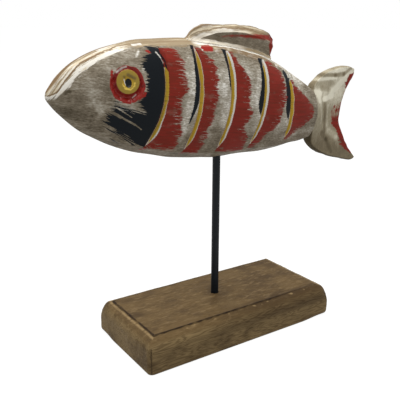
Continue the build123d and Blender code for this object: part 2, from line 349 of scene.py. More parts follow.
# The rear end is rounded off by a few shrinking rings
CAP_RINGS = 5
CAP_REACH = 1.0
CAP_SHRINK = 0.16
CAP_FACET = 5.0
# Pale paint lies where the fin faces up more than this, and changes this fast with the facing
PALE_FACING = (0.4, (-0.15, (("along", -8, -20),)))
PALE_STEEPNESS = 6
DORSAL_VALUES = {
    "pale_ragged": (0.3,),
    "pale_cream": (-0.12, (0.14, (("along", 10, -20),))),
    "pale_white": (0.0, (0.45, (("along", 20, 0),))),
    "pale_line": (0.8,),
    "wash": (0.32, (0.55, (("over_back", 2.1, 1.5),))),
}
# A red streak: its middle and half width as powers of the place along, and where and how fast it starts
STREAK_MIDDLE = (44.2, 0.13, -0.0018)
STREAK_HALF = (0.35, 0.042)
STREAK_START = -4
STREAK_GROWTH = 0.2
# Red on the fin's rear corner: its start, its height, and how its edge slopes along and up
CORNER_START = 33.6
CORNER_UP = 42
CORNER_SLOPES = (1.2, 0.35)

# The tail in millimetres of the fish's own frame, from its lower tip to its upper tip: along, up
TAIL_LEADING = (
    (134.6, -33.0), (129.6, -35.4), (115.8, -33.8), (102.3, -31.2), (90.5, -26.9), (83.0, -20.6),
    (82.0, -11.0), (83.5, -2.0), (82.0, 7.0),
    (79.0, 17.3), (85.0, 25.2), (95.4, 31.1), (107.3, 34.3), (115.0, 34.9), (120.0, 34.0),
)
TAIL_TRAILING = (
    (135.4, -32.3), (132.6, -29.9), (127.0, -24.6), (121.0, -18.6), (116.2, -12.4), (113.0, -7.0),
    (111.7, -3.0), (111.5, 2.0), (112.3, 8.0),
    (113.6, 13.0), (115.3, 18.0), (117.3, 22.5), (119.2, 26.6), (120.2, 30.0), (120.0, 32.6),
)
TAIL_COLUMNS = 190
TAIL_ROWS = 60
TAIL_RELIEF = ((0.3, 15.0, 41), (0.12, 6.0, 42))
# Half thickness: thicker at the root, with gouge marks there, and thinner along the trailing edge
TAIL_HALF = (
    2.9,
    (2.6, (("along", 103, 86), ("from_root", 26, 6))),
    (-0.5, (("gouge", 0, 1), ("along", 108, 96), ("from_gouges", 20, 8))),
    (-0.3, (("from_hollow", 6, 0),)),
)
ROOT_UP = -2
GOUGES_UP = -1
GOUGE_SLANT = 0.12
GOUGE_TURN = 0.85
# Middle of the hollow along the trailing edge, as powers of the height
HOLLOW_MIDDLE = (112, 0, 0.007)
EDGE_ROUNDING = 1.9
EDGE_HALF = 0.25
# The tail's wash is lighter towards the top and darker towards the bottom, partly its paint and partly
# painted shade
TAIL_VALUES = {
    "pale_margin": (-9.0,),
    "wash": (
        0.6,
        (0.26, (("up", 0, 14),)),
        (-0.24, (("up", -8, -24),)),
        (-0.4, (("from_front", 1.8, 0.6),)),
    ),
    "red_faded": (0.0, (0.8, (("up", -4, 0), ("up", 10, 7), ("from_rear", 1.5, 3.0)))),
}
# Width of the red along the tail's trailing edge: up, width
TAIL_RED = (
    (-33.0, -2.5), (-30.0, 1.0), (-27.0, 4.0), (-24.0, 5.4), (-19.0, 5.8), (-14.0, 5.2), (-11.0, 6.0),
    (-8.0, 8.4), (-2.0, 9.0), (3.0, 9.5), (6.0, 8.0), (8.5, 2.0), (11.0, 1.2), (15.0, 1.2), (17.5, 1.6),
    (20.0, 3.4), (23.5, 5.4), (26.0, 6.0), (29.0, 5.0), (31.0, 1.0), (33.0, -2.5),
)
TAIL_WASH = (
    ((89.2, 28.6), (108.7, 32.0), 1.3, 0.16),
    ((86.5, 27.0), (100.3, 27.4), 1.2, -0.28),
    ((100.3, 27.4), (108.1, 29.0), 1.4, -0.28),
    ((108.1, 29.0), (115.4, 33.3), 1.1, -0.24),
    ((81.4, 22.9), (101.4, 25.7), 0.8, 0.24),
    ((80.0, 19.0), (98.0, 21.5), 2.2, -0.16),
    ((88.0, 17.5), (94.5, 17.0), 1.6, -0.16),
    ((80.0, 14.6), (86.5, 13.8), 1.3, 0.3),
    ((84.8, 12.0), (86.2, 8.0), 1.0, 0.36),
    ((90.8, 9.8), (100.0, 12.8), 1.5, 0.36),
    ((98.6, 14.2), (106.6, 22.3), 1.9, 0.22),
    ((106.6, 22.3), (115.6, 30.4), 1.9, 0.2),
    ((87.6, 5.7), (90.6, -6.8), 1.1, 0.14),
    ((91.7, 6.9), (96.6, -13.3), 1.3, -0.24),
    ((95.9, 5.6), (99.4, -9.1), 1.0, 0.16),
    ((93.9, -14.4), (100.0, -19.0), 1.6, -0.22),
    ((100.0, -19.0), (107.2, -28.4), 1.5, -0.2),
    ((101.6, -12.7), (110.1, -17.3), 2.4, 0.22),
    ((110.1, -17.3), (114.5, -23.6), 1.8, 0.16),
)

# The block in millimetres: the grid it is worn on, its relief, and the panel's inset
BLOCK_GRID = 0.6
BLOCK_RELIEF = ((0.12, 16.0, 61), (0.06, 5.0, 62))
FOOT_HEIGHT = 1
PANEL_INSET = 7.3
# At the front the ledge round the panel rises to the panel's height towards the right
LEDGE_RISE = 0.85
LEDGE_RUN = (20, 62)
LEDGE_DEPTH = 8
STEP_CLEAR = 0.2
# Corners that are sanded rounder: the sides of the box that they lie on, and where
SANDED_CORNERS = (
    ((1, -1), (("from_right", 26, 8),)),
    ((-1, 1), (("from_left", 22, 8), ("from_rear", 22, 8))),
)
# Sanding of those corners: radius, radius at the foot, and at what height
SANDINGS = ((8.0, 0.1, (("from_top", 13, 4),)), (4.0, 3.0, (("up", 6, 3),)))
# Where the block's stain changes, and the wavering of the lines there: height, wavelength and seed
BLOCK_VALUES = {
    "block_top": (("facing_up", 0.5, 0.85),),
    # Pooled stain and painted shade in the step's gap
    "block_gap": (("from_step", 0.75, 0.2), ("from_top", 4.5, 1.5)),
    # Worn stain and a painted highlight on the rim
    "block_rim": (("from_rim", 1.3, 0.3), ("from_top", 4.5, 1.5)),
    "block_smear": (("under_edge", 2, 6), ("under_edge", 13, 7), ("along", -50, 30)),
    "block_corner": (("from_corner", 0.5, 0.1), ("facing_rear", -0.4, -0.8)),
}
STEP_WAVER = ((0.2, 7.0, 63),)
RIM_SPOTS = ((1.0, 4.0, 64),)
CORNER_WAVER = ((0.12, 6.0, 65),)
RIM_SPOT_FADE = (0.7, 1.3)
RIM_INSET = 1.6
CORNER_INSET = 1.5
CORNER_TOP = 4
GAP_FILLED = 0.8
# What counts as the distance under the front edge elsewhere
NOT_FRONT = 50

# Brushes: length and width of their strokes in millimetres, and a seed
WASH_BRUSHES = ((14.0, 2.8, 3.0), (6.0, 0.8, 11.0), (1.8, 0.6, 17.0))
BACK_BRUSHES = ((34.0, 2.2, 61.0), (14.0, 0.7, 67.0))
BACK_EDGE_BRUSH = (8.0, 1.2, 5.0)
BODY_BRUSHES = ((30.0, 4.6, 21.0), (13.0, 1.3, 27.0), (9.0, 0.5, 33.0), (14.0, 0.9, 39.0))
FIN_BRUSH = (5.0, 2.0, 51.0)
ROD_BRUSH = (0.8, 6.0, 71.0)
# Noise: how often it repeats to a millimetre along, across and up, then its detail and roughness
STROKE_NOISE = ((1.0, 1.0, 1.0), 4.0, 0.6)
STROKE_CONTRAST = (0.3, 0.7)
GRAIN_FIGURE = ((0.11, 0.11, 0.11), 3.0, 0.5)
GRAIN_FIBRE = ((1.9, 1.9, 1.9), 5.0, 0.7)
WASH_CLOUD = ((0.09, 1.0, 0.1), 4.0, 0.6)
BACK_WANDER = ((0.11, 1.0, 0.0), 3.0, 0.6)
BACK_BARE = ((0.09, 1.0, 0.42), 4.0, 0.68)
RED_PATCHES = ((0.12, 1.0, 0.2), 3.0, 0.6)
EYE_POOLS = ((0.22, 1.0, 0.22), 2.0, 0.5)
FIN_PATCHES = ((0.3, 1.0, 0.22), 3.0, 0.6)
BLOCK_BLOTCH = ((0.035, 0.06, 0.07), 4.0, 0.62)
BLOCK_FLECK = ((0.14, 0.4, 0.6), 4.0, 0.65)
ROD_SPECKS = ((0.7, 0.7, 0.7), 4.0, 0.6)
# Finishes: how shiny each is, and the depth in millimetres and strength of its bumps
PAINT_SPECULAR = 0.08
PAINT_ROUGHNESS = 0.46
PAINT_BUMP = (0.1, 0.5)
PAINT_HEIGHT = 0.6
EYE_ROUGHNESS = 0.3
RING_COAT = 0.2
BOSS_COAT = 0.08
COAT_ROUGHNESS = 0.12
BLOCK_SPECULAR = 0.1
BLOCK_BUMP = (0.12, 0.5)
ROD_SPECULAR = 0.18
ROD_BUMP = (0.05, 0.4)
# Darker red in random strokes and as painted shade in the eye ring's hollow; lighter black along the rod's
# worn strokes
DARKER_RED = 0.62
WORN_ROD = 1.6

# The wash: share of each brush and of the clouds, the tones that it runs through, and its warm tint
WASH_SHARES = (0.24, 0.28, 0.44, 1.0)
WASH_TONES = (("taupe", 0.0, 0.4), ("grey", 0.4, 0.72), ("white", 0.72, 1.0))
WARM_TINT = (1.0, 0.97, 0.8)
WASH_ROUGHNESS = (0.66, 0.5)
FINE_HEIGHT = 0.6
# How much the wash is streaked and warmed on the body; on the fins, after the raggedness of their red
BODY_STREAKS = 1.0
BODY_WARMTH = 0.0
DORSAL_FINISH = (0.4, 0.8, 0.0)
TAIL_FINISH = (1.8, 0.4, 0.65)
# Edges of paint: raggedness and softness in millimetres, or softness alone
RED_EDGE = (3.4, 0.8)
RED_SLIP_EDGE = (0.8, 0.25)
BLACK_SLIP_EDGE = (0.2, 0.15)
RIM_EDGE = (0.25, 0.15)
WHITE_SLIP_EDGE = (0.5, 0.3)
OCHRE_EDGE = (0.2, 0.15)
GOLD_EDGE = (0.3, 0.35)
EYE_GLINT_EDGE = (0.1, 0.15)
BLACK_SOFTNESS = 0.22
BACK_SOFTNESS = 0.4
FIN_SOFTNESS = 0.8
# Fades of paint: a pattern's or a margin's value from and to, then the paint's share there if not 0 and 1
FRESH_RED = (0.3, 0.75, 0.0, 0.6)
SHADED_RED = (0.5, 0.75, 0.0, 0.5)
HAZY_RED = (0.54, 0.74, 0.0, 0.3)
THICK_OCHRE = (0.0, 0.5)
BOSS_WORN = (0.45, 0.8, 0.0, 0.1)
POOL_FADE = (0.5, 0.7, 0.0, 0.6)
EYE_SHADE_FADE = (-0.8, 0.5, 0.0, 0.6)
RING_GLINT_FADE = (-0.7, 0.4, 0.0, 0.95)
FIN_FADE = (0.58, 0.46)
FRESH_FIN_RED = (0.2, 0.9, 0.0, 0.6)
# Dry strokes hold the red's edge back by some millimetres
DRY_RED = (0.6, 0.9, 0.0, -6.5)
# Patterns that make the red's edge ragged: share of all but the widest strokes, and of the fine ones in it
RAGGED_SHARE = 0.52
RAGGED_FINE = 0.4
# The eye's paint, in millimetres past the radius of each part, and how dark the painted shade is by the boss
RING_EDGE = (0.45, 0.15)
EYE_EDGE = 0.15
DIMPLE_EDGE = 1.2
BOSS_SHADE_REACH = (1.8, 0.2)
BOSS_SHADE_STRENGTH = (0.0, 0.55)
# The pale back: fades of its cream and white, and how its line of bare wood wanders and waves
CREAM_FINE = 0.2
CREAM_FADE = (0.38, 0.62)
THICK_WHITE = (0.5, 0.38, 0.0, 0.8)
WHITE_RAGGED = 0.45
WHITE_BELOW = (0.52, 0.64)
WHITE_WORN = (0.63, 0.53, 0.15, 1.0)
LINE_WANDER = 0.6
LINE_WAVE = 0.09
LINE_FADE = (0.17, 0.07)
CREST_FADE = (0.12, 0.05)
# The block's grain, with the millimetres of rings that its figure cuts through, and its stain
GRAIN_HEIGHT = 60.0
FIBRE_SHARE = 0.55
GRAIN_CONTRAST = (0.2, 0.8)
BLOCK_GRAIN = {"Ring Width": 2.6, "Drawn Out": 9.0, "Seed": 7.0}
GRAIN_LINES = (0.62, 0.15)
GRAIN_STRENGTHS = (0.5, 0.16)
BLOTCH_FADE = (0.58, 0.3, 0.0, 0.7)
FLECK_FADE = (0.5, 0.72, 0.0, 0.45)
SMEAR_FADE = (0.3, 0.6, 0.2, 0.75)
RIM_WEAR_AND_HIGHLIGHT_FADE = (0.3, 0.55)
STEP_STAIN_AND_SHADE_FADE = (0.3, 0.55, 0.45, 1.0)
CORNER_DARKNESS = 0.7
BLOCK_ROUGHNESS = (0.7, 0.55)
# The rod's paint
ROD_WEAR = (0.3, 1.0)
ROD_ROUGHNESS = (0.3, 0.7, 0.38, 0.52)
# The fish's edges look sharp where they turn by more than this
SHARP_ANGLE = math.radians(17)

# The stage, in metres, and the greys of its floor
FLOOR_REACH = 20.0
FLOOR_CORNERS = ((-1, -1), (1, -1), (1, 1), (-1, 1))
FLOOR_GREY = 0.5
FLOOR_SHOWN_GREY = 0.16
FLOOR_GLOW = 0.93
LAMP_SIZE = (0.9, 0.7)
LAMP_PLACE = (-0.08, 0.02, 0.95)
CLIP_START = 0.01
WHITE = (1, 1, 1, 1)


# Settings


def paint(red, green, blue):
    """A colour given in screen values from 0 to 255, as the linear colour that a material holds."""
    screen = (channel / 255 for channel in (red, green, blue))
    return tuple(c / 12.92 if c <= 0.04045 else ((c + 0.055) / 1.055) ** 2.4 for c in screen)


def length_prop(name, description, millimetres):
    return FloatProperty(
        name=name, description=description, default=millimetres * MM, unit="LENGTH", precision=4
    )


def angle_prop(name, description, degrees):
    return FloatProperty(
        name=name, description=description, default=math.radians(degrees), unit="ROTATION", subtype="ANGLE"
    )


def colour_prop(name, description, *screen):
    return FloatVectorProperty(
        name=name, description=description, default=paint(*screen), subtype="COLOR", size=3, min=0, max=1
    )


class CarvedFishShape(bpy.types.PropertyGroup):
    """Sizes of the carved fish."""

    body_length: length_prop("Body Length", "From the nose to the body's rounded rear end", 205.8)
    body_height: length_prop("Body Height", "Tallest section of the body", 73.0)
    body_thickness: length_prop("Body Thickness", "Thickest section of the body", 38.0)
    axis_height: length_prop("Axis Height", "Height of the fish's long axis over the rod", 152.6)
    tilt: angle_prop("Tilt", "How far the nose is raised", 6.5)
    groove_depth: length_prop("Groove Depth", "Depth of the gouged bands", 2.1)
    groove_front: length_prop("Groove Front Wall", "Width of the gouge's front wall", 1.7)
    groove_rear: length_prop("Groove Rear Wall", "Width of the gouge's rear wall", 2.3)
    eye_ring: length_prop("Eye Ring Radius", "Outer radius of the cut ring", 9.8)
    eye_boss: length_prop("Eye Boss Radius", "Radius of the boss inside the ring", 6.6)
    eye_boss_rise: length_prop("Eye Boss Rise", "How far the boss sits above the ring's middle", 1.5)
    eye_depth: length_prop("Eye Ring Depth", "Depth of the cut ring", 1.7)
    eye_dimple: length_prop("Eye Dimple Radius", "Radius of the dimple in the boss", 3.8)
    eye_dimple_depth: length_prop("Eye Dimple Depth", "Depth of the dimple in the boss", 1.2)
    pupil: length_prop("Pupil Radius", "Radius of the painted pupil", 2.0)


class CarvedFishPaint(bpy.types.PropertyGroup):
    """Colours of the paint, wood and rod."""

    wood: colour_prop("Bare Wood", "Dark wood that shows through the wash", 85, 76, 60)
    taupe: colour_prop("Taupe Wash", "Thin wash over the wood", 136, 125, 107)
    grey: colour_prop("Grey Wash", "Denser strokes of the wash", 184, 176, 160)
    white: colour_prop("White", "Thick white strokes and rims", 246, 242, 232)
    rim: colour_prop("Rim", "Pale rims behind the bands", 222, 218, 208)
    tan: colour_prop("Tan", "Wood that shows through on the back", 152, 134, 106)
    tan_dark: colour_prop("Dark Tan", "Lines of bare wood on the back", 128, 104, 76)
    cream: colour_prop("Cream", "Wash on the back", 216, 202, 174)
    red: colour_prop("Brick Red", "Red bands", 124, 46, 34)
    bright_red: colour_prop("Bright Red", "Fresher strokes of red", 156, 46, 38)
    eye_red: colour_prop("Eye Red", "Thick glossy red round the eye", 146, 38, 31)
    black: colour_prop("Blue Black", "Black bands", 22, 26, 30)
    ochre: colour_prop("Ochre", "Bands in the gouges", 196, 160, 54)
    # Dimple glint is a painted highlight: light caught on the lower rim of the eye's dimple
    gold: colour_prop("Gold", "Thick ochre at the rim of the eye's dimple", 236, 204, 96)
    dark_ochre: colour_prop("Dark Ochre", "Thin ochre, and the eye", 162, 136, 58)
    stain: colour_prop("Block Stain", "Middle tone of the stained block", 107, 86, 55)
    stain_dark: colour_prop("Dark Stain", "Dark grain and gaps of the block", 62, 46, 28)
    # Worn Stain also makes the pale rim by the panel's step, partly worn and partly a painted highlight
    stain_pale: colour_prop("Worn Stain", "Worn edges of the block", 150, 126, 88)
    stain_side: colour_prop("Side Stain", "Middle tone of the block's sides", 132, 111, 76)
    # Pooled stain in the panel's step, with painted shade under it, and a dark line down the front by the
    # left corner
    stain_pooled: colour_prop("Pooled Stain", "Stain pooled in the panel's step", 40, 28, 17)
    rod: colour_prop("Rod Paint", "Black paint of the rod", 8, 14, 19)


class CarvedFishStage(bpy.types.PropertyGroup):
    """Camera and light."""

    camera_place: FloatVectorProperty(
        name="Camera Place", description="Where the camera stands", default=(-0.2255, -0.3095, 0.2043),
        subtype="TRANSLATION", size=3, precision=4,
    )
    camera_heading: angle_prop("Camera Heading", "Turn of the view from straight ahead", 34.16)
    camera_pitch: angle_prop("Camera Pitch", "How far the view looks down", 16.61)
    camera_roll: angle_prop("Camera Roll", "Roll of the view", 0.36)
    lens: FloatProperty(
        name="Lens", description="Focal length in millimetres on a 36 mm sensor", default=53.5
    )
    sky: FloatProperty(name="Sky", description="Strength of the even light", default=0.47)
    top_light: FloatProperty(name="Top Light", description="Power of the lamp overhead in watts", default=9.0)


def size(name):
    """One of the fish's sizes, in millimetres."""
    return getattr(bpy.context.scene.carved_fish_shape, name) / MM


def tone(name, strength=1.0):
    """One of the colours, darker or lighter, as a colour socket takes it."""
    colour = getattr(bpy.context.scene.carved_fish_paint, name)
    return (*(strength * channel for channel in colour), 1.0)


# Shaping tools


def smooth_through(stops, values, at):
    """A curve through the given values that never overshoots them."""
    x = np.asarray(stops, float)
    y = np.asarray(values, float)
    step = np.diff(x)
    slope = np.diff(y) / step
    tangent = np.empty_like(y)
    tangent[0], tangent[-1] = slope[0], slope[-1]
    same_way = slope[:-1] * slope[1:] > 0
    mean = 2 * slope[:-1] * slope[1:] / np.where(same_way, slope[:-1] + slope[1:], 1)
    tangent[1:-1] = np.where(same_way, mean, 0)
    at = np.clip(np.asarray(at, float), x[0], x[-1])
    span = np.clip(np.searchsorted(x, at, side="right") - 1, 0, len(x) - 2)
    t = (at - x[span]) / step[span]
    return (
        (2 * t**3 - 3 * t**2 + 1) * y[span]
        + (t**3 - 2 * t**2 + t) * step[span] * tangent[span]
        + (3 * t**2 - 2 * t**3) * y[span + 1]
        + (t**3 - t**2) * step[span] * tangent[span + 1]
    )


def through(stops, at):
    """Smooth curves through evenly spaced values, or rows of values, at shares from 0 to 1."""
    rows = np.asarray(stops, float)
    places = np.linspace(0, 1, len(rows))
    if rows.ndim == 1:
        return smooth_through(places, rows, at)
    return np.stack([smooth_through(places, column, at) for column in rows.T], -1)


def powers(factors, at):
    """A sum of rising powers of a value, each times its factor."""
    return sum(factor * at**power for power, factor in enumerate(factors))


def smooth_step(low, high, value):
    t = np.clip((value - low) / (high - low), 0, 1)
    return t * t * (3 - 2 * t)


def between(first, second, share):
    return first + share * (second - first)


def faded(measures, zone):
    """How far each point lies in a zone, from 0 to 1."""
    share = 1.0
    for name, low, high in zone:
        share = share * smooth_step(low, high, measures[name])
    return share


def zoned(measures, start, *zones):
    """A value that starts the same all over and changes by an amount in each zone."""
    value = np.full_like(measures["up"], start)
    for amount, zone in zones:
        value += amount * faded(measures, zone)
    return value


def segment_gap(along, up, start, end):
    """Distance to the line from one point to another."""
    run, rise = end[0] - start[0], end[1] - start[1]
    along, up = along - start[0], up - start[1]
    share = np.clip((along * run + up * rise) / (run**2 + rise**2), 0, 1)
    return np.hypot(along - share * run, up - share * rise)


def outline_margin(outline, along, up):
    """Millimetres inside a closed outline, negative outside it."""
    nearest = np.full(along.shape, np.inf)
    inside = np.zeros(along.shape, bool)
    for start, end in zip(outline, (*outline[1:], outline[0])):
        nearest = np.minimum(nearest, segment_gap(along, up, start, end))
        crosses = (start[1] > up) != (end[1] > up)
        slant = (end[0] - start[0]) / ((end[1] - start[1]) or 1)
        inside ^= crosses & (along < start[0] + slant * (up - start[1]))
    return np.where(inside, nearest, -nearest)


def wash_marks(marks, along, up):
    """How much lighter or darker the wash is at each place, from soft-edged strokes."""
    change = np.zeros_like(along)
    for start, end, half_width, amount in marks:
        outer, inner = MARK_OUTER * half_width + MARK_BLUR, MARK_INNER * half_width
        change += amount * smooth_step(outer, inner, segment_gap(along, up, start, end))
    return change


def hand_wobble(points, wavelength, seed):
    """Slow irregularity of handwork, mostly from -1 to 1, the same on every run."""
    random = np.random.default_rng(seed)
    directions = random.normal(size=(WOBBLE_WAVES, points.shape[-1]))
    directions /= np.linalg.norm(directions, axis=1, keepdims=True)
    lengths = wavelength * random.uniform(*WOBBLE_LENGTHS, WOBBLE_WAVES)
    phases = random.uniform(0, 2 * np.pi, WOBBLE_WAVES)
    total = np.zeros(points.shape[:-1])
    for direction, length, phase in zip(directions, lengths, phases):
        total += np.cos(points @ (direction * 2 * np.pi / length) + phase)
    return total / math.sqrt(WOBBLE_WAVES)


def hand_relief(points, layers):
    """Layers of irregularity, each with its height, wavelength and seed."""
    return sum(height * hand_wobble(points, wavelength, seed) for height, wavelength, seed in layers)


def grid_normals(points):
    """Unit normals of a grid of points, columns by rows, whose rows run round a closed ring."""
    along = np.gradient(points, axis=0)
    around = (np.roll(points, -1, axis=1) - np.roll(points, 1, axis=1)) / 2
    normal = np.cross(along, around)
    return normal / np.maximum(np.linalg.norm(normal, axis=2, keepdims=True), TINY)


def both_sides(grid):
    """Columns of rows on the near side, with the same rows back again on the far side."""
    return np.concatenate([grid, grid[:, ::-1]], 1)


def pattern_place(along, sides, up):
    """Places in the patterns of the paint, where the two sides lie apart."""
    return np.stack(np.broadcast_arrays(along, SIDE_SHIFT * sides, up), -1)


def fish_to_row(points):
    """Points in millimetres of the fish's own frame, in metres of the shared frame."""
    shape = bpy.context.scene.carved_fish_shape
    along, across, up = np.moveaxis(points * MM, -1, 0)
    cos, sin = math.cos(shape.tilt), math.sin(shape.tilt)
    return np.stack(
        [ROD_X + along * cos + up * sin, ROD_Y + across, shape.axis_height - along * sin + up * cos], -1
    )


def ring_faces(columns, rows):
    """Faces of a closed mesh of rings: quads between the rings, and a fan to a point at each end."""
    column, row = np.meshgrid(np.arange(columns - 1), np.arange(rows), indexing="ij")
    here, after = column * rows + row, column * rows + (row + 1) % rows
    faces = np.stack([here, here + rows, after + rows, after], -1).reshape(-1, 4).tolist()
    first_end, last_end = columns * rows, columns * rows + 1
    last_ring = first_end - rows
    for row in range(rows):
        after = (row + 1) % rows
        faces.append((first_end, row, after))
        faces.append((last_end, last_ring + after, last_ring + row))
    return faces


def with_ends(grid):
    """Values of a grid of rings, one row to a point, and the means of the first and the last ring."""
    rings = grid.reshape(*grid.shape[:2], -1)
    return np.concatenate([*rings, rings[[0, -1]].mean(axis=1)])


def add_values(mesh, fields):
    """Named numbers or vectors at each point of a mesh."""
    for name, values in fields.items():
        values = np.asarray(values, np.float32)
        is_vector = values.ndim == 2 and values.shape[1] == 3
        layer = mesh.attributes.new(name, "FLOAT_VECTOR" if is_vector else "FLOAT", "POINT")
        layer.data.foreach_set("vector" if is_vector else "value", values.ravel())


def make_piece(name, points, fields, material, slot, replaced):
    """A smooth mesh of rings, with named values at its points, that rides with the fish."""
    mesh = bpy.data.meshes.new(name)
    mesh.from_pydata(fish_to_row(with_ends(points)).tolist(), [], ring_faces(*points.shape[:2]))
    add_values(mesh, {field: with_ends(grid) for field, grid in fields.items()})
    mesh.shade_smooth()
    mesh.set_sharp_from_angle(angle=SHARP_ANGLE)
    mesh.validate()
    piece = bpy.data.objects.new(name, mesh)
    bpy.context.collection.objects.link(piece)
    mesh.materials.append(material)
    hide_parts(replaced)
    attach(piece, FISH_BODY)


# Node tools


class Board:
    """Adds shader nodes to an emptied tree and joins them."""

    def __init__(self, tree):
        self.tree = tree
        tree.nodes.clear()

    def add(self, kind, inputs=(), **settings):
        node = self.tree.nodes.new("ShaderNode" + kind)
        for name, value in settings.items():
            setattr(node, name, value)
        for key, value in dict(inputs).items():
            self.feed(node.inputs[key], value)
        return node

    def feed(self, socket, value):
        if isinstance(value, bpy.types.NodeSocket):
            self.tree.links.new(value, socket)
        else:
            socket.default_value = value

    def math(self, operation, first, second=0.0, addend=0.0, clamp=False):
        inputs = {0: first, 1: second, 2: addend}
        return self.add("Math", inputs, operation=operation, use_clamp=clamp).outputs[0]

    def vector(self, operation, first, second, output="Vector"):
        return self.add("VectorMath", {0: first, 1: second}, operation=operation).outputs[output]

    def noise(self, place, scales, detail, roughness):
        scaled = self.vector("MULTIPLY", place, scales)
        inputs = {"Vector": scaled, "Scale": 1.0, "Detail": detail, "Roughness": roughness}
        return self.add("TexNoise", inputs).outputs["Fac"]

    def spread(self, value, low, high, to_low=0.0, to_high=1.0, kind="SMOOTHSTEP"):
        inputs = {"Value": value, "From Min": low, "From Max": high, "To Min": to_low, "To Max": to_high}
        return self.add("MapRange", inputs, interpolation_type=kind).outputs["Result"]

    def swayed(self, value, pattern, amount):
        """A value moved down and up by a pattern that runs from 0 to 1."""
        return self.math("MULTIPLY_ADD", self.math("SUBTRACT", pattern, 0.5), amount, addend=value)

    def mix(self, share, first, second):
        """Between two colours."""
        return self.add("Mix", {0: share, 6: first, 7: second}, data_type="RGBA").outputs[2]

    def blend(self, share, first, second):
        """Between two values."""
        return self.add("Mix", {0: share, 2: first, 3: second}, data_type="FLOAT").outputs[0]

    def value(self, name):
        return self.add("Attribute", attribute_name=name).outputs["Fac"]

    def place(self, name):
        return self.add("Attribute", attribute_name=name).outputs["Vector"]

    def bump(self, height, distance, strength):
        inputs = {"Height": height, "Distance": distance * MM, "Strength": strength}
        return self.add("Bump", inputs).outputs[0]

    def group(self, name, inputs):
        """Outputs of a shared node group, which is built when it is first used."""
        if name not in bpy.data.node_groups:
            GROUP_BUILDERS[name]()
        return self.add("Group", inputs, node_tree=bpy.data.node_groups[name]).outputs

    def strokes(self, place, brush):
        length, width, seed = brush
        inputs = {"Place": place, "Length": length, "Width": width, "Seed": seed}
        return self.group("Brush Strokes", inputs)["Strokes"]

    def painted_edge(self, margin, strokes, raggedness, softness):
        inputs = {"Margin": margin, "Strokes": strokes, "Raggedness": raggedness, "Softness": softness}
        return self.group("Painted Edge", inputs)["Mask"]

    def marks(self, place, marks):
        """Millimetres inside the nearest of some brush marks."""
        margin = FAR_OUTSIDE
        for start, end, half_width in marks:
            inputs = {"Place": place, "Half Width": half_width}
            inputs["Start"] = (start[0], 0, start[1])
            inputs["End"] = (end[0], 0, end[1])
            margin = self.math("MAXIMUM", self.group("Brush Mark", inputs)["Margin"], margin)
        return margin


def new_group(name, inputs, outputs):
    """An empty shader node group: its board, and the sockets of its input and output nodes.

    An input is given with its default, or None for a vector, and an output with its kind.
    """
    tree = bpy.data.node_groups.new(name, "ShaderNodeTree")
    for socket, default in inputs.items():
        kind = "NodeSocketVector" if default is None else "NodeSocketFloat"
        made = tree.interface.new_socket(socket, in_out="INPUT", socket_type=kind)
        if default is not None:
            made.default_value = default
    for socket, kind in outputs.items():
        tree.interface.new_socket(socket, in_out="OUTPUT", socket_type="NodeSocket" + kind)
    board = Board(tree)
    return board, tree.nodes.new("NodeGroupInput").outputs, tree.nodes.new("NodeGroupOutput").inputs


def brush_strokes_group():
    """Strokes of a dry brush, drawn out along the fish."""
    inputs = {"Place": None, "Length": 12.0, "Width": 1.2, "Seed": 0.0}
    board, source, sink = new_group("Brush Strokes", inputs, {"Strokes": "Float"})
    along = board.math("DIVIDE", 1.0, source["Length"])
    up = board.math("DIVIDE", 1.0, source["Width"])
    scale = board.add("CombineXYZ", {0: along, 1: 1.0, 2: up}).outputs[0]
    shifted = board.vector("ADD", board.vector("MULTIPLY", source["Place"], scale), source["Seed"])
    strokes = board.noise(shifted, *STROKE_NOISE)
    board.feed(sink["Strokes"], board.spread(strokes, *STROKE_CONTRAST, kind="LINEAR"))


def painted_edge_group():
    """A mask that is 1 inside a painted shape, with an edge made ragged by brush strokes."""
    inputs = {"Margin": 0.0, "Strokes": 0.5, "Raggedness": 2.0, "Softness": 0.25}
    board, source, sink = new_group("Painted Edge", inputs, {"Mask": "Float"})
    sway = board.math("MULTIPLY", source["Raggedness"], 2.0)
    margin = board.swayed(source["Margin"], source["Strokes"], sway)
    low = board.math("MULTIPLY", source["Softness"], -1.0)
    board.feed(sink["Mask"], board.spread(margin, low, source["Softness"]))


def brush_mark_group():
    """One stroke of a loaded brush: millimetres inside its edge, between two points of the flank."""
    inputs = {"Place": None, "Start": None, "End": None, "Half Width": 1.0}
    board, source, sink = new_group("Brush Mark", inputs, {"Margin": "Float"})
    flat = board.vector("MULTIPLY", source["Place"], (1, 0, 1))
    run = board.vector("SUBTRACT", source["End"], source["Start"])
    reach = board.vector("SUBTRACT", flat, source["Start"])
    reached = board.vector("DOT_PRODUCT", reach, run, "Value")
    whole = board.vector("DOT_PRODUCT", run, run, "Value")
    share = board.math("DIVIDE", reached, whole, clamp=True)
    nearest = board.vector("MULTIPLY", run, share)
    gap = board.vector("DISTANCE", reach, nearest, "Value")
    board.feed(sink["Margin"], board.math("SUBTRACT", source["Half Width"], gap))


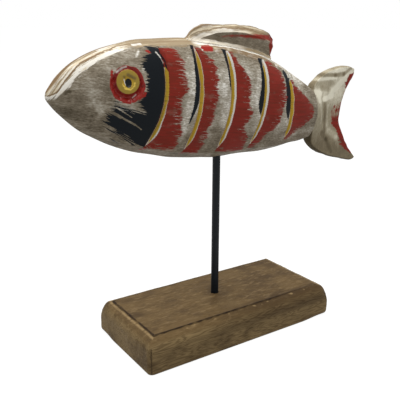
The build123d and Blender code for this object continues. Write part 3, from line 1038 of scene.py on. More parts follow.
def wood_grain_group():
    """Grain of a plank: slow rings and fine fibres, drawn out along it."""
    inputs = {"Place": None, "Ring Width": 5.0, "Drawn Out": 14.0, "Seed": 0.0}
    board, source, sink = new_group("Wood Grain", inputs, {"Grain": "Float"})
    drawn = board.math("DIVIDE", 1.0, source["Drawn Out"])
    stretch = board.add("CombineXYZ", {0: drawn, 1: 1.0, 2: 1.0}).outputs[0]
    seeded = board.vector("ADD", board.vector("MULTIPLY", source["Place"], stretch), source["Seed"])
    figure = board.noise(seeded, *GRAIN_FIGURE)
    rings = board.math("DIVIDE", board.math("MULTIPLY", figure, GRAIN_HEIGHT), source["Ring Width"])
    wave = board.math("SINE", board.math("MULTIPLY", rings, 2 * math.pi))
    wave = board.math("MULTIPLY_ADD", wave, 0.5, addend=0.5)
    grain = board.blend(FIBRE_SHARE, wave, board.noise(seeded, *GRAIN_FIBRE))
    board.feed(sink["Grain"], board.spread(grain, *GRAIN_CONTRAST, kind="LINEAR"))


def whitewash_group():
    """Thin wash brushed over dark wood, from nearly bare to nearly white."""
    inputs = {"Place": None, "Wash": 0.5, "Streaks": 1.0, "Warmth": 0.0}
    outputs = {"Color": "Color", "Height": "Float", "Roughness": "Float"}
    board, source, sink = new_group("Whitewashed Wood", inputs, outputs)
    place = source["Place"]
    broad, fine, grain = (board.strokes(place, brush) for brush in WASH_BRUSHES)
    change = 0.0
    for pattern, share in zip((broad, fine, grain, board.noise(place, *WASH_CLOUD)), WASH_SHARES):
        change = board.swayed(change, pattern, share)
    wash = board.math("MULTIPLY_ADD", change, source["Streaks"], addend=source["Wash"])
    colour = tone("wood")
    for name, low, high in WASH_TONES:
        colour = board.mix(board.spread(wash, low, high, kind="LINEAR"), colour, tone(name))
    warmer = board.vector("MULTIPLY", colour, WARM_TINT)
    board.feed(sink["Color"], board.mix(source["Warmth"], colour, warmer))
    board.feed(sink["Height"], board.blend(FINE_HEIGHT, broad, fine))
    board.feed(sink["Roughness"], board.spread(fine, 0.0, 1.0, *WASH_ROUGHNESS))


def pale_back_group():
    """Cream and white strokes along a facet of the back, with brown lines of wood left between them.

    Share runs from 0 at the crest to 1 at the facet's lower edge.
    """
    inputs = {"Place": None, "Share": 0.5, "Cream": 0.0, "White": 0.0, "Line": 0.0}
    board, source, sink = new_group("Pale Back", inputs, {"Color": "Color"})
    place = source["Place"]
    broad, fine = (board.strokes(place, brush) for brush in BACK_BRUSHES)
    bare = board.noise(place, *BACK_BARE)
    share = board.swayed(source["Share"], board.noise(place, *BACK_WANDER), LINE_WANDER)
    streaks = board.math("ADD", board.blend(CREAM_FINE, broad, fine), source["Cream"])
    colour = board.mix(board.spread(streaks, *CREAM_FADE), tone("tan"), tone("cream"))
    thick = board.spread(bare, *THICK_WHITE)
    below_line = board.spread(board.swayed(share, fine, WHITE_RAGGED), *WHITE_BELOW)
    brushed = board.math("MULTIPLY", below_line, board.spread(bare, *WHITE_WORN))
    for white in (thick, brushed):
        colour = board.mix(board.math("MULTIPLY", white, source["White"], clamp=True), colour, tone("white"))
    off_line = board.math("ABSOLUTE", board.math("SUBTRACT", share, LINE_SHARE))
    wavy = board.spread(board.math("MULTIPLY_ADD", broad, LINE_WAVE, addend=off_line), *LINE_FADE)
    crest = board.spread(source["Share"], *CREST_FADE)
    line = board.math("MULTIPLY", board.math("MAXIMUM", wavy, crest), source["Line"], clamp=True)
    board.feed(sink["Color"], board.mix(line, colour, tone("tan_dark")))


GROUP_BUILDERS = {
    "Brush Strokes": brush_strokes_group,
    "Painted Edge": painted_edge_group,
    "Brush Mark": brush_mark_group,
    "Wood Grain": wood_grain_group,
    "Whitewashed Wood": whitewash_group,
    "Pale Back": pale_back_group,
}


def new_material(name, specular):
    """A material with an empty board: the material, the board and the inputs of its shader."""
    material = bpy.data.materials.new(name)
    material.use_nodes = True
    board = Board(material.node_tree)
    shader = board.add("BsdfPrincipled", {"Specular IOR Level": specular})
    board.add("OutputMaterial", {"Surface": shader.outputs[0]})
    return material, board, shader.inputs


def fish_wood(board, streaks, warmth):
    """Whitewash on the flanks and pale strokes on the back: colour and the wash's other values."""
    inputs = {"Place": board.place("grain_place"), "Wash": board.value("wash")}
    wash = board.group("Whitewashed Wood", {**inputs, "Streaks": streaks, "Warmth": warmth})
    crest = board.place("crest_place")
    inputs = {socket: board.value("pale_" + socket.lower()) for socket in ("Share", "Cream", "White", "Line")}
    pale = board.group("Pale Back", {"Place": crest, **inputs})["Color"]
    strokes = board.strokes(crest, BACK_EDGE_BRUSH)
    ragged = board.value("pale_ragged")
    on_back = board.painted_edge(board.value("pale_margin"), strokes, ragged, BACK_SOFTNESS)
    return board.mix(on_back, wash["Color"], pale), wash


# The body


def band_place(number, up_share):
    """Place of one band along the body at some height, both as shares of the body."""
    top, middle, bottom = GROOVE_SHARES[number]
    level = np.clip(up_share, bottom[1] - GROOVE_OVERRUN, top[1] + GROOVE_OVERRUN)
    place = 0
    for own, other, third in ((top, middle, bottom), (middle, top, bottom), (bottom, top, middle)):
        weight = (level - other[1]) * (level - third[1]) / ((own[1] - other[1]) * (own[1] - third[1]))
        place = place + own[0] * weight
    return place


def body_columns(length):
    """Places of the rings along the body, closer together at the bands, the eye and the tips."""
    last = SECTION_PLACES[-1]
    fine = np.linspace(TIP_SHARE, last - TIP_SHARE, PACING_STEPS)
    pace = TIP_GAP + TIP_GAP_GROWTH * np.minimum(fine, last - fine) * length
    closer = [(middle[0], BAND_GAP, BAND_GAP_REACH) for _, middle, _ in GROOVE_SHARES]
    for place, gap, reach in (*closer, (EYE_SHARES[0], EYE_GAP, EYE_GAP_REACH)):
        away = smooth_step(*reach, np.abs(fine - place) * length)
        pace = np.minimum(pace, between(gap, RING_GAP, away))
    count = np.concatenate([[0], np.cumsum(np.diff(fine) * length / pace[1:])])
    return np.interp(np.linspace(0, count[-1], int(count[-1])), count, fine)


def body_rings(share):
    """Rings round the body: up the near flank, over the back, down the far flank and under the belly.

    Each ring has the same rows, and each of its points has its own place along the body.
    """
    height, thickness = size("body_height"), size("body_thickness")
    middle = smooth_through(SECTION_PLACES, SECTION_MIDDLES, share) * height
    # Half sizes grow from the tips as a round end does, so their squares are what runs smoothly there
    half_height = np.sqrt(smooth_through(SECTION_PLACES, SECTION_HEIGHTS**2, share)) * height / 2
    half_width = np.sqrt(smooth_through(SECTION_PLACES, SECTION_WIDTHS**2, share)) * thickness / 2
    crease = FLAT_SHARE * half_width
    back_drop, belly_rise = crease * math.tan(BACK_SLOPE), crease * math.tan(BELLY_SLOPE)
    back, belly = half_height - back_drop, half_height - belly_rise
    # Each flank is a cubic curve from crease to crease that bulges out to the half width
    bulge = (4 * half_width - crease) / 3
    drop = (bulge - crease) * math.tan(SHOULDER_SLOPE)
    t = np.where(RING_PARTS == FAR_FLANK, 1 - RING_STEPS, RING_STEPS)
    start, near_start = (1 - t) ** 3, 3 * (1 - t) ** 2 * t
    end, near_end = t**3, 3 * (1 - t) * t**2
    flank_across = crease * (start + end) + bulge * (near_start + near_end)
    flank_up = -belly * start + (drop - belly) * near_start + (back - drop) * near_end + back * end
    out = np.where(RUNS_INWARD, 1 - RING_STEPS, RING_STEPS)
    flat_up = np.where(ON_BACK, half_height - out * back_drop, out * belly_rise - half_height)
    across = np.where(ON_FLANK, flank_across, crease * out)
    up = np.where(ON_FLANK, flank_up, flat_up) + middle
    from_crease = np.where(ON_BACK, (crease - across) / math.cos(BACK_SLOPE), up - middle - back)
    return across * RING_SIDES, up, from_crease, half_width


def carve_body():
    """The body's grid of points, carved, and its values for the paint."""
    length, height = size("body_length"), size("body_height")
    columns = body_columns(length)
    bands = range(len(GROOVE_SHARES))
    middles = [middle[0] for _, middle, _ in GROOVE_SHARES]
    knots = [BOW_ENDS[0], *middles, BOW_ENDS[1]]
    weights = [np.interp(columns, knots, np.eye(len(knots))[number + 1])[:, None] for number in bands]
    # The rings bow with the bands, so that each gouge runs along one ring
    share = np.repeat(columns[:, None], len(RING_STEPS), 1)
    for _ in range(BOW_PASSES):
        up = body_rings(share)[1]
        bow = [band_place(number, up / height) - middles[number] for number in bands]
        share = columns[:, None] + sum(weight * offset for weight, offset in zip(weights, bow))
    across, up, from_crease, half_width = body_rings(share)
    along = (share - ROD_SHARE) * length
    points = np.stack([along, across, up], -1)
    relief = hand_relief(points, BODY_RELIEF) * np.minimum(half_width / TIP_HALF_WIDTH, 1)
    points = points + grid_normals(points) * relief[..., None]
    normals = grid_normals(points)
    band_cut, band_fields = carve_bands(along, up)
    eye_cut, eye_fields = carve_eye(points, normals)
    facet = np.maximum(FLAT_SHARE * half_width / math.cos(BACK_SLOPE), LEAST_FACET)
    points = points - normals * np.maximum(band_cut, eye_cut)[..., None]
    return points, {**band_fields, **eye_fields, **wash_body(along, up, from_crease, facet)}


def carve_bands(along, up):
    """Depth of the gouged bands, and how far each point lies inside each colour of the bands."""
    length, height = size("body_length"), size("body_height")
    front, rear = size("groove_front"), size("groove_rear")
    waver_height, waver_length, waver_seed = BAND_WAVER
    cut = np.zeros_like(up)
    margins = {colour: np.full_like(up, FAR_OUTSIDE) for colour in ("red", "black", "ochre", "rim")}

    def paint_inside(colour, *limits):
        margins[colour] = np.maximum(margins[colour], np.minimum.reduce(limits))

    for number, (top, _, bottom) in enumerate(GROOVE_SHARES):
        offset = along - (band_place(number, up / height) - ROD_SHARE) * length
        level = (up / height - bottom[1]) / (top[1] - bottom[1])
        off_middle = np.abs(2 * level - 1)
        wall = np.where(offset < 0, 1 + offset / front, 1 - offset / rear)
        opening = np.clip(1 - off_middle**GOUGE_POWER, 0, 1)
        cut = np.maximum(cut, np.clip(wall, 0, 1) * opening * size("groove_depth"))
        pattern = np.stack([np.full_like(up, BAND_SHIFT * number), up], -1)
        waver = waver_height * hand_wobble(pattern, waver_length, waver_seed + number)
        taper = np.clip(OCHRE_OPENING - off_middle**OCHRE_POWER, 0, 1)
        taper *= smooth_step(OCHRE_TOP[number] + OCHRE_FADE, OCHRE_TOP[number], level)
        ochre_rear = OCHRE_SHARE[number] * rear * taper
        rim_rear = ochre_rear + through(RIM_WIDTH[number], level) * smooth_step(*RIM_FOOT, level)
        ends = np.minimum(level, 1 - level) * OCHRE_RUN
        ochre_front = OCHRE_NEARER * taper - OCHRE_START
        paint_inside("ochre", offset + ochre_front + waver, ochre_rear - offset + waver, ends)
        paint_inside("rim", offset + waver, rim_rear - offset + waver, ends - RIM_SHORT)
        red_ends = np.minimum(level - RED_ENDS[0], RED_ENDS[1] - level) * PAINT_RUN
        red_rear = through(RED_REACH[number], level) + rear
        paint_inside("red", red_rear - offset, (offset + RED_START) * CRISP, red_ends)
        if number == 0:
            head = np.minimum(outline_margin(BLACK_HEAD, along, up), (BLACK_STOP - offset) * CRISP)
            paint_inside("black", head)
        else:
            black_ends = np.minimum(level - BLACK_ENDS[0], BLACK_ENDS[1] - level) * PAINT_RUN
            black_front = through(BLACK_REACH[number - 1], level) + front
            black_rear = BLACK_STOP - through(BLACK_CLEAR[number - 1], level)
            paint_inside("black", black_front + offset, (black_rear - offset) * CRISP, black_ends)
    fields = {colour + "_margin": margin for colour, margin in margins.items()}
    head_ragged = zoned({"along": along, "up": up}, *HEAD_RAGGED)
    fields["black_ragged"] = np.where(head > BLACK_HEAD_REACH, head_ragged, BLACK_RAGGED)
    return cut, fields


def carve_eye(points, normals):
    """Depth of the eye, a ring cut round a dimpled boss, and distances from the middles of its parts."""
    along, across, up = np.moveaxis(points, -1, 0)
    eye_along = (EYE_SHARES[0] - ROD_SHARE) * size("body_length")
    eye_up = EYE_SHARES[1] * size("body_height")
    gap = np.where(across > 0, np.inf, np.hypot(along - eye_along, up - eye_up))
    nearest = np.unravel_index(np.argmin(gap), gap.shape)
    facing = normals[nearest]
    # Both eyes are measured on the near side
    reach = np.stack([along, -np.abs(across), up], -1) - points[nearest]
    flat = reach - (reach @ facing)[..., None] * facing
    bearing = np.arctan2(flat[..., 2], flat[..., 0])
    uneven = sum(amount * np.cos(count * bearing + turn) for amount, count, turn in RING_WAVES)
    ring_radius = np.linalg.norm(flat, axis=-1) / (1 + uneven)
    raised = np.array([0, 0, 1]) - facing[2] * facing
    boss_radius = np.linalg.norm(flat - raised * size("eye_boss_rise"), axis=-1)
    past_boss = np.clip((boss_radius - size("eye_boss")) / BOSS_WALL, 0, 1)
    inside_ring = np.clip((size("eye_ring") - ring_radius) / RING_WALL, 0, 1)
    ring = np.minimum(past_boss, inside_ring)
    relief = smooth_step(0, RING_RELIEF_DEPTH, ring) * hand_relief(points, RING_RELIEF)
    dimple = smooth_step(size("eye_dimple"), size("eye_dimple") * DIMPLE_FLOOR, boss_radius)
    cut = ring * size("eye_depth") + relief + dimple * size("eye_dimple_depth")
    pupil = (flat[..., [0, 2]] - PUPIL_PLACE) / PUPIL_STRETCH
    pupil_radius = np.linalg.norm(pupil, axis=-1)
    return cut, {"ring_radius": ring_radius, "boss_radius": boss_radius, "pupil_radius": pupil_radius}


def wash_body(along, up, from_crease, facet):
    """Values for the wash on the flanks and the pale paint on the back."""
    from_crest = np.maximum(facet - from_crease, 0)
    measures = {"along": along, "up": up, "from_crease": from_crease, "from_crest": from_crest}
    measures["over_rear"] = up - np.interp(along, *np.array(REAR_PALE).T)
    fields = {name: zoned(measures, *value) for name, value in BODY_VALUES.items()}
    fields["wash"] += wash_marks(BODY_WASH, along, up)
    head, beside_fin = faded(measures, HEAD), faded(measures, BESIDE_FIN)
    lean = CHEEK_LEAN * faded(measures, LEANING_CHEEK) * (along - CHEEK_LEAN_FROM)
    fields["fish_place"] = fields["grain_place"] = pattern_place(along, RING_SIDES, up)
    fields["brush_place"] = pattern_place(along, RING_SIDES, up + lean)
    fields["crest_place"] = pattern_place(along, RING_SIDES, from_crest)
    head_along, head_edge, head_line = np.array(HEAD_PALE).T
    edge = np.interp(along, head_along, head_edge)
    line = np.interp(along, head_along, head_line)
    shoulder = from_crease + FIN_SHOULDER * beside_fin
    fields["pale_margin"] = between(shoulder, up - edge, head) - REAR_END_DROP * faded(measures, REAR_END)
    # The line of bare wood lies at one share of the facet, and on the head where its table says
    crest_up = up + from_crest * math.sin(BACK_SLOPE)
    over_line = between(0, LINE_SHARE, (crest_up - up) / np.maximum(crest_up - line, LINE_ROOM))
    under_line = between(LINE_SHARE, 1, (line - up) / (line - edge))
    seam = LINE_SHARE + SEAM_STEP * smooth_step(*SEAM_REACH, from_crest)
    share = between(from_crest / facet, seam, beside_fin)
    fields["pale_share"] = between(share, np.where(up < line, under_line, over_line), head)
    fields["pale_line"] = np.maximum(head, LINE_LEAST) + LINE_BESIDE_FIN * beside_fin
    return fields


def paint_eye(board, place, under, fine, worn):
    """The eye's paint over the body's, with painted shade and highlights: the colour, and masks of the ring
    and its boss.
    """
    ring, boss, dimple, pupil = (size(name) for name in ("eye_ring", "eye_boss", "eye_dimple", "pupil"))
    boss_radius = board.value("boss_radius")
    ring_mask = board.spread(board.value("ring_radius"), ring + RING_EDGE[0], ring + RING_EDGE[1])
    boss_mask = board.spread(boss_radius, boss + EYE_EDGE, boss - EYE_EDGE)
    pupil_mask = board.spread(board.value("pupil_radius"), pupil + EYE_EDGE, pupil - EYE_EDGE)
    # Painted shade: the ring's groove is darker beside the boss, and elsewhere it is darker in random pools
    boss_shade = board.spread(boss_radius, boss + BOSS_SHADE_REACH[0], boss + BOSS_SHADE_REACH[1], *BOSS_SHADE_STRENGTH)
    pooled = board.spread(board.noise(place, *EYE_POOLS), *POOL_FADE)
    ring_tone = board.mix(board.math("MAXIMUM", boss_shade, pooled), tone("eye_red"), tone("red", DARKER_RED))
    outside_dimple = board.spread(boss_radius, dimple - DIMPLE_EDGE, dimple)
    boss_tone = board.mix(outside_dimple, tone("ochre"), tone("dark_ochre"))
    boss_tone = board.mix(board.spread(worn, *BOSS_WORN), boss_tone, tone("wood"))
    layers = (
        (ring_mask, ring_tone),
        (boss_mask, boss_tone),
        # A dark spot and painted shade above the pupil
        (board.spread(board.marks(place, EYE_SHADES), *EYE_SHADE_FADE), tone("wood")),
        (pupil_mask, tone("black")),
        # Painted highlights: light caught on the dimple's rim, and glints on the ring and by the pupil
        (board.painted_edge(board.marks(place, GOLD_GLINTS), fine, *GOLD_EDGE), tone("gold")),
        (board.spread(board.marks(place, RING_GLINTS), *RING_GLINT_FADE), tone("white")),
        (board.painted_edge(board.marks(place, EYE_GLINTS), fine, *EYE_GLINT_EDGE), tone("white")),
    )
    colour = under
    for mask, over in layers:
        colour = board.mix(mask, colour, over)
    return colour, ring_mask, boss_mask


def fish_body_material():
    """Whitewash, then black, red, ochre and the eye, each brushed over the last."""
    material, board, shader = new_material("painted_fish_body", PAINT_SPECULAR)
    place = board.place("fish_place")
    leaning = board.place("brush_place")
    colour, wash = fish_wood(board, BODY_STREAKS, BODY_WARMTH)
    bulges, broad, fine, bristles = (board.strokes(leaning, brush) for brush in BODY_BRUSHES)
    ragged = board.blend(RAGGED_SHARE, bulges, board.blend(RAGGED_FINE, broad, fine))
    patches = board.noise(place, *RED_PATCHES)
    worn = board.blend(0.5, broad, patches)
    scuffed = board.blend(0.5, bristles, patches)
    red = board.mix(board.spread(worn, *FRESH_RED), tone("red"), tone("bright_red"))
    red = board.mix(board.spread(scuffed, *SHADED_RED), red, tone("red", DARKER_RED))
    red = board.mix(board.spread(patches, *HAZY_RED), red, tone("taupe"))
    red_margin = board.math("ADD", board.value("red_margin"), board.spread(fine, *DRY_RED))
    gaps = board.math("MULTIPLY", board.marks(place, BARE_GAPS), -CRISP)
    black_margin = board.math("MINIMUM", board.value("black_margin"), gaps)
    black_edge = (board.value("black_ragged"), BLACK_SOFTNESS)
    ochre = board.mix(board.spread(broad, *THICK_OCHRE), tone("dark_ochre"), tone("ochre"))
    # Coats in the order of brushing: margin, strokes and finish of the edge, colour, and if it is thick
    coats = (
        (black_margin, bristles, black_edge, tone("black"), True),
        (red_margin, ragged, RED_EDGE, red, True),
        (board.marks(place, RED_SLIPS), bristles, RED_SLIP_EDGE, tone("bright_red"), False),
        (board.marks(place, BLACK_SLIPS), fine, BLACK_SLIP_EDGE, tone("black"), True),
        (board.value("rim_margin"), fine, RIM_EDGE, tone("rim"), False),
        (board.marks(place, WHITE_SLIPS), fine, WHITE_SLIP_EDGE, tone("rim"), False),
        (board.value("ochre_margin"), fine, OCHRE_EDGE, ochre, True),
    )
    thick = 0.0
    for margin, strokes, edge, over, is_thick in coats:
        mask = board.painted_edge(margin, strokes, *edge)
        colour = board.mix(mask, colour, over)
        if is_thick:
            thick = board.math("MAXIMUM", mask, thick)
    colour, ring_mask, boss_mask = paint_eye(board, place, colour, fine, worn)
    board.feed(shader["Base Color"], colour)
    roughness = board.blend(thick, wash["Roughness"], PAINT_ROUGHNESS)
    board.feed(shader["Roughness"], board.blend(ring_mask, roughness, EYE_ROUGHNESS))
    coat = board.math("MULTIPLY", ring_mask, board.blend(boss_mask, RING_COAT, BOSS_COAT))
    board.feed(shader["Coat Weight"], coat)
    board.feed(shader["Coat Roughness"], COAT_ROUGHNESS)
    height = board.math("MULTIPLY_ADD", thick, PAINT_HEIGHT, addend=wash["Height"])
    board.feed(shader["Normal"], board.bump(height, *PAINT_BUMP))
    return material


class CARVEDFISH_OT_body(bpy.types.Operator):
    """Carve and paint the fish's body"""

    bl_idname = "carved_fish.body"
    bl_label = "Carve Body"

    def execute(self, context):
        make_piece("carved_body", *carve_body(), fish_body_material(), "painted_wood", "fish_body")
        return {"FINISHED"}


# The fins


def carve_dorsal_fin():
    """The dorsal fin as rings from front to rear: near flank, bevels to the crest, far flank."""
    rest = np.linspace(0, 1, DORSAL_COLUMNS)
    crest, seat = through(DORSAL_CREST, rest), through(DORSAL_SEAT, rest)
    half, bevel = through(DORSAL_HALF_THICKNESS, rest), through(DORSAL_BEVEL_SHARES, rest)
    flank = np.linspace(0, 1, DORSAL_FLANK_ROWS)
    slope = np.linspace(0, 1, DORSAL_BEVEL_ROWS)[1:]
    level = np.concatenate([np.outer(bevel, flank), between(bevel[:, None], 1, slope)], 1)
    flank_half = np.repeat(half[:, None], len(flank), 1)
    near_half = np.concatenate([flank_half, between(half[:, None], DORSAL_CREST_HALF, slope)], 1)
    sides = np.repeat((-1, 1), near_half.shape[1])
    level, across = both_sides(level), both_sides(near_half)
    along, up = np.moveaxis(between(seat[:, None, :], crest[:, None, :], level[..., None]), -1, 0)
    # Filler at the fin's root flares out onto the back
    share = along / size("body_length") + ROD_SHARE
    back = smooth_through(SECTION_PLACES, SECTION_MIDDLES + SECTION_HEIGHTS / 2, share) * size("body_height")
    over_back = up - back + across * math.tan(BACK_SLOPE)
    across = across + FILLER_FLARE * np.clip(1 - over_back / FILLER_HEIGHT, 0, 1) ** 2
    points = np.stack([along, across * sides, up], -1)
    points = points + grid_normals(points) * hand_relief(points, DORSAL_RELIEF)[..., None]
    # The rear end is rounded off by a few shrinking rings
    last, backward = points[-1], (points[-1] - points[-2]).mean(axis=0)
    angles = np.linspace(0, np.pi / 2, CAP_RINGS + 1)[1:, None, None]
    shrink = 1 - CAP_SHRINK * (1 - np.cos(angles))
    caps = between(last.mean(axis=0), last, shrink)
    caps = caps + CAP_REACH * np.sin(angles) * backward / np.linalg.norm(backward)
    points = np.concatenate([points, caps])
    along, _, up = np.moveaxis(points, -1, 0)
    own_column = np.minimum(np.arange(len(points)), DORSAL_COLUMNS - 1)
    from_crest = crest[own_column, 1][:, None] - up
    facet = np.append((1 - bevel) * (crest - seat)[:, 1], np.full(CAP_RINGS, CAP_FACET))[:, None]
    measures = {"along": along, "up": up, "over_back": over_back[own_column]}
    fields = {name: zoned(measures, *value) for name, value in DORSAL_VALUES.items()}
    fields["fish_place"] = fields["grain_place"] = pattern_place(along, sides, up)
    fields["crest_place"] = pattern_place(along, sides, from_crest)
    fields["pale_share"] = from_crest / facet
    tilt = bpy.context.scene.carved_fish_shape.tilt
    facing_up = grid_normals(points) @ (-math.sin(tilt), 0, math.cos(tilt))
    fields["pale_margin"] = PALE_STEEPNESS * (facing_up - zoned(measures, *PALE_FACING))
    from_streak = np.abs(up - powers(STREAK_MIDDLE, along))
    in_streak = np.minimum(powers(STREAK_HALF, along) - from_streak, (along - STREAK_START) * STREAK_GROWTH)
    in_corner = (along - CORNER_START) * CORNER_SLOPES[0] - np.abs(up - CORNER_UP) * CORNER_SLOPES[1]
    fields["red_margin"] = np.maximum(in_streak, in_corner)
    return points, fields


def carve_tail():
    """The tail as rings from its upper tip to its lower tip: near side back, far side forward."""
    rest = np.linspace(1, 0, TAIL_COLUMNS)
    leading, trailing = through(TAIL_LEADING, rest), through(TAIL_TRAILING, rest)
    chord = np.linalg.norm(trailing - leading, axis=1)
    share = 0.5 - 0.5 * np.cos(np.linspace(0, np.pi, TAIL_ROWS))
    outline = between(leading[:, None, :], trailing[:, None, :], share[None, :, None])
    along, up = np.moveaxis(outline, -1, 0)
    measures = {"along": along, "up": up, "from_root": np.abs(up - ROOT_UP)}
    measures["from_gouges"] = np.abs(up - GOUGES_UP)
    measures["gouge"] = np.sin((along + GOUGE_SLANT * up) * GOUGE_TURN)
    measures["from_hollow"] = np.abs(along - powers(HOLLOW_MIDDLE, up))
    from_front, from_rear = np.outer(chord, share), np.outer(chord, 1 - share)
    rounding = np.clip(np.minimum(from_front, from_rear) / EDGE_ROUNDING, 0, 1)
    half = zoned(measures, *TAIL_HALF) * np.sqrt(1 - (1 - rounding) ** 2) + EDGE_HALF
    sides = np.repeat((-1, 1), TAIL_ROWS)
    points = np.stack([both_sides(along), both_sides(half) * sides, both_sides(up)], -1)
    points = points - grid_normals(points) * hand_relief(points, TAIL_RELIEF)[..., None]
    along, _, up = np.moveaxis(points, -1, 0)
    from_front, from_rear = both_sides(from_front), both_sides(from_rear)
    measures = {"along": along, "up": up, "from_front": from_front, "from_rear": from_rear}
    fields = {name: zoned(measures, *value) for name, value in TAIL_VALUES.items()}
    fields["wash"] += wash_marks(TAIL_WASH, along, up)
    fields["fish_place"] = pattern_place(along, sides, up)
    fields["grain_place"] = pattern_place(up, sides, along)
    fields["crest_place"] = pattern_place(along, sides, from_rear)
    fields["red_margin"] = smooth_through(*np.array(TAIL_RED).T, up) - from_rear
    return points, fields


def fin_material(name, raggedness, streaks, warmth):
    """Whitewash with a few strokes of red."""
    material, board, shader = new_material(name, PAINT_SPECULAR)
    place = board.place("fish_place")
    wood, wash = fish_wood(board, streaks, warmth)
    strokes = board.strokes(place, FIN_BRUSH)
    mask = board.painted_edge(board.value("red_margin"), strokes, raggedness, FIN_SOFTNESS)
    patches = board.spread(board.noise(place, *FIN_PATCHES), *FIN_FADE)
    faded_red = board.math("MULTIPLY", board.value("red_faded"), patches)
    mask = board.math("MULTIPLY", mask, board.math("SUBTRACT", 1.0, faded_red))
    red = board.mix(board.spread(strokes, *FRESH_FIN_RED), tone("red"), tone("bright_red"))
    board.feed(shader["Base Color"], board.mix(mask, wood, red))
    board.feed(shader["Roughness"], board.blend(mask, wash["Roughness"], PAINT_ROUGHNESS))
    board.feed(shader["Normal"], board.bump(wash["Height"], *PAINT_BUMP))
    return material


class CARVEDFISH_OT_dorsal_fin(bpy.types.Operator):
    """Carve and paint the dorsal fin"""

    bl_idname = "carved_fish.dorsal_fin"
    bl_label = "Carve Dorsal Fin"

    def execute(self, context):
        material = fin_material("painted_dorsal_fin", *DORSAL_FINISH)
        make_piece("carved_dorsal_fin", *carve_dorsal_fin(), material, "painted_wood", "dorsal_fin")
        return {"FINISHED"}


class CARVEDFISH_OT_tail(bpy.types.Operator):
    """Carve and paint the tail"""

    bl_idname = "carved_fish.tail"
    bl_label = "Carve Tail"

    def execute(self, context):
        material = fin_material("painted_tail", *TAIL_FINISH)
        make_piece("carved_tail", *carve_tail(), material, "painted_wood", "tail_fin")
        return {"FINISHED"}


# The block and the rod


def fine_copy(source):
    """A finely divided copy of a node's mesh, in place."""
    blank = bpy.data.objects.new("block_blank", source.data.copy())
    bpy.context.collection.objects.link(blank)
    blank.matrix_world = source.matrix_world
    remesh = blank.modifiers.new("fine_grid", "REMESH")
    remesh.mode = "VOXEL"
    remesh.voxel_size = BLOCK_GRID * MM
    graph = bpy.context.evaluated_depsgraph_get()
    mesh = bpy.data.meshes.new_from_object(blank.evaluated_get(graph))
    bpy.data.objects.remove(blank)
    mesh.materials.clear()
    mesh.shade_smooth()
    return mesh


def vectors_of(mesh, name):
    """Places or normals of a mesh's points."""
    vectors = np.empty(len(mesh.vertices) * 3, np.float32)
    mesh.vertices.foreach_get(name, vectors)
    return vectors.reshape(-1, 3).astype(float)


def sanded_corner(points, low, high, sides, radius, foot_radius):
    """Points drawn in to one upright edge of the box, rounded along it and at its top and foot."""
    sides = np.array(sides)
    inner = np.where(sides > 0, high[:2] - radius, low[:2] + radius)
    out = np.maximum((points[:, :2] - inner) * sides, 0)
    over = np.maximum(points[:, 2] - (high[2] - radius), 0)
    under = np.maximum(foot_radius - points[:, 2], 0) * radius / foot_radius
    reach = np.sqrt((out**2).sum(axis=1) + over**2 + under**2)
    pull = np.minimum(radius / np.maximum(reach, TINY), 1) - 1
    drawn = points.copy()
    drawn[:, :2] += out * sides * pull[:, None]
    drawn[:, 2] += over * pull - under * pull * foot_radius / radius
    return drawn


def block_mesh(source):
    """A finely divided copy of the block, worn by hand, with its values for the stain."""
    mesh = fine_copy(source)
    mesh.name = "worn_block"
    points = vectors_of(mesh, "co") / MM
    low, high = (np.array(corner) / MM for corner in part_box("base_block"))
    along, across, up = points.T
    from_low, from_high = (points - low).T, (high - points).T
    inset = np.minimum(from_low[:2], from_high[:2])
    edge = inset.min(axis=0)
    at_front = (inset[1] <= inset[0]) & (across < 0)
    measures = {"along": along, "up": up, "from_left": from_low[0], "from_right": from_high[0]}
    measures.update({"from_rear": from_high[1], "from_top": from_high[2]})
    outward = points - (0, 0, high[2] / 2)
    outward /= np.linalg.norm(outward, axis=1, keepdims=True)
    moved = points + outward * (hand_relief(points, BLOCK_RELIEF) * (up > FOOT_HEIGHT))[:, None]
    rising = np.where(at_front, smooth_step(*LEDGE_RUN, along), 0)
    on_ledge = (edge < PANEL_INSET - STEP_CLEAR) & (from_high[2] < LEDGE_DEPTH)
    moved[:, 2] += LEDGE_RISE * rising * smooth_step(0, PANEL_INSET, edge) * on_ledge
    for sides, where in SANDED_CORNERS:
        for radius, foot_radius, heights in SANDINGS:
            drawn = sanded_corner(moved, low, high, sides, radius, foot_radius)
            moved = between(moved, drawn, faded(measures, where + heights)[:, None])
    mesh.vertices.foreach_set("co", (moved * MM).astype(np.float32).ravel())
    mesh.update()
    _, measures["facing_rear"], measures["facing_up"] = vectors_of(mesh, "normal").T
    measures["from_step"] = np.abs(edge - PANEL_INSET) + hand_relief(points, STEP_WAVER)
    measures["from_rim"] = np.abs(edge - PANEL_INSET + RIM_INSET)
    measures["under_edge"] = np.where(at_front, from_high[2] + np.maximum(0, from_low[1]), NOT_FRONT)
    measures["from_corner"] = np.abs(from_low[0] - CORNER_INSET + hand_relief(points, CORNER_WAVER))
    fields = {name: faded(measures, zone) for name, zone in BLOCK_VALUES.items()}
    fields["block_gap"] *= 1 - GAP_FILLED * rising
    spots = smooth_step(*RIM_SPOT_FADE, hand_relief(points, RIM_SPOTS))
    fields["block_rim"] *= np.where(at_front, spots, 1)
    fields["block_corner"] *= from_high[2] > CORNER_TOP
    add_values(mesh, {"block_place": points, **fields})
    return mesh


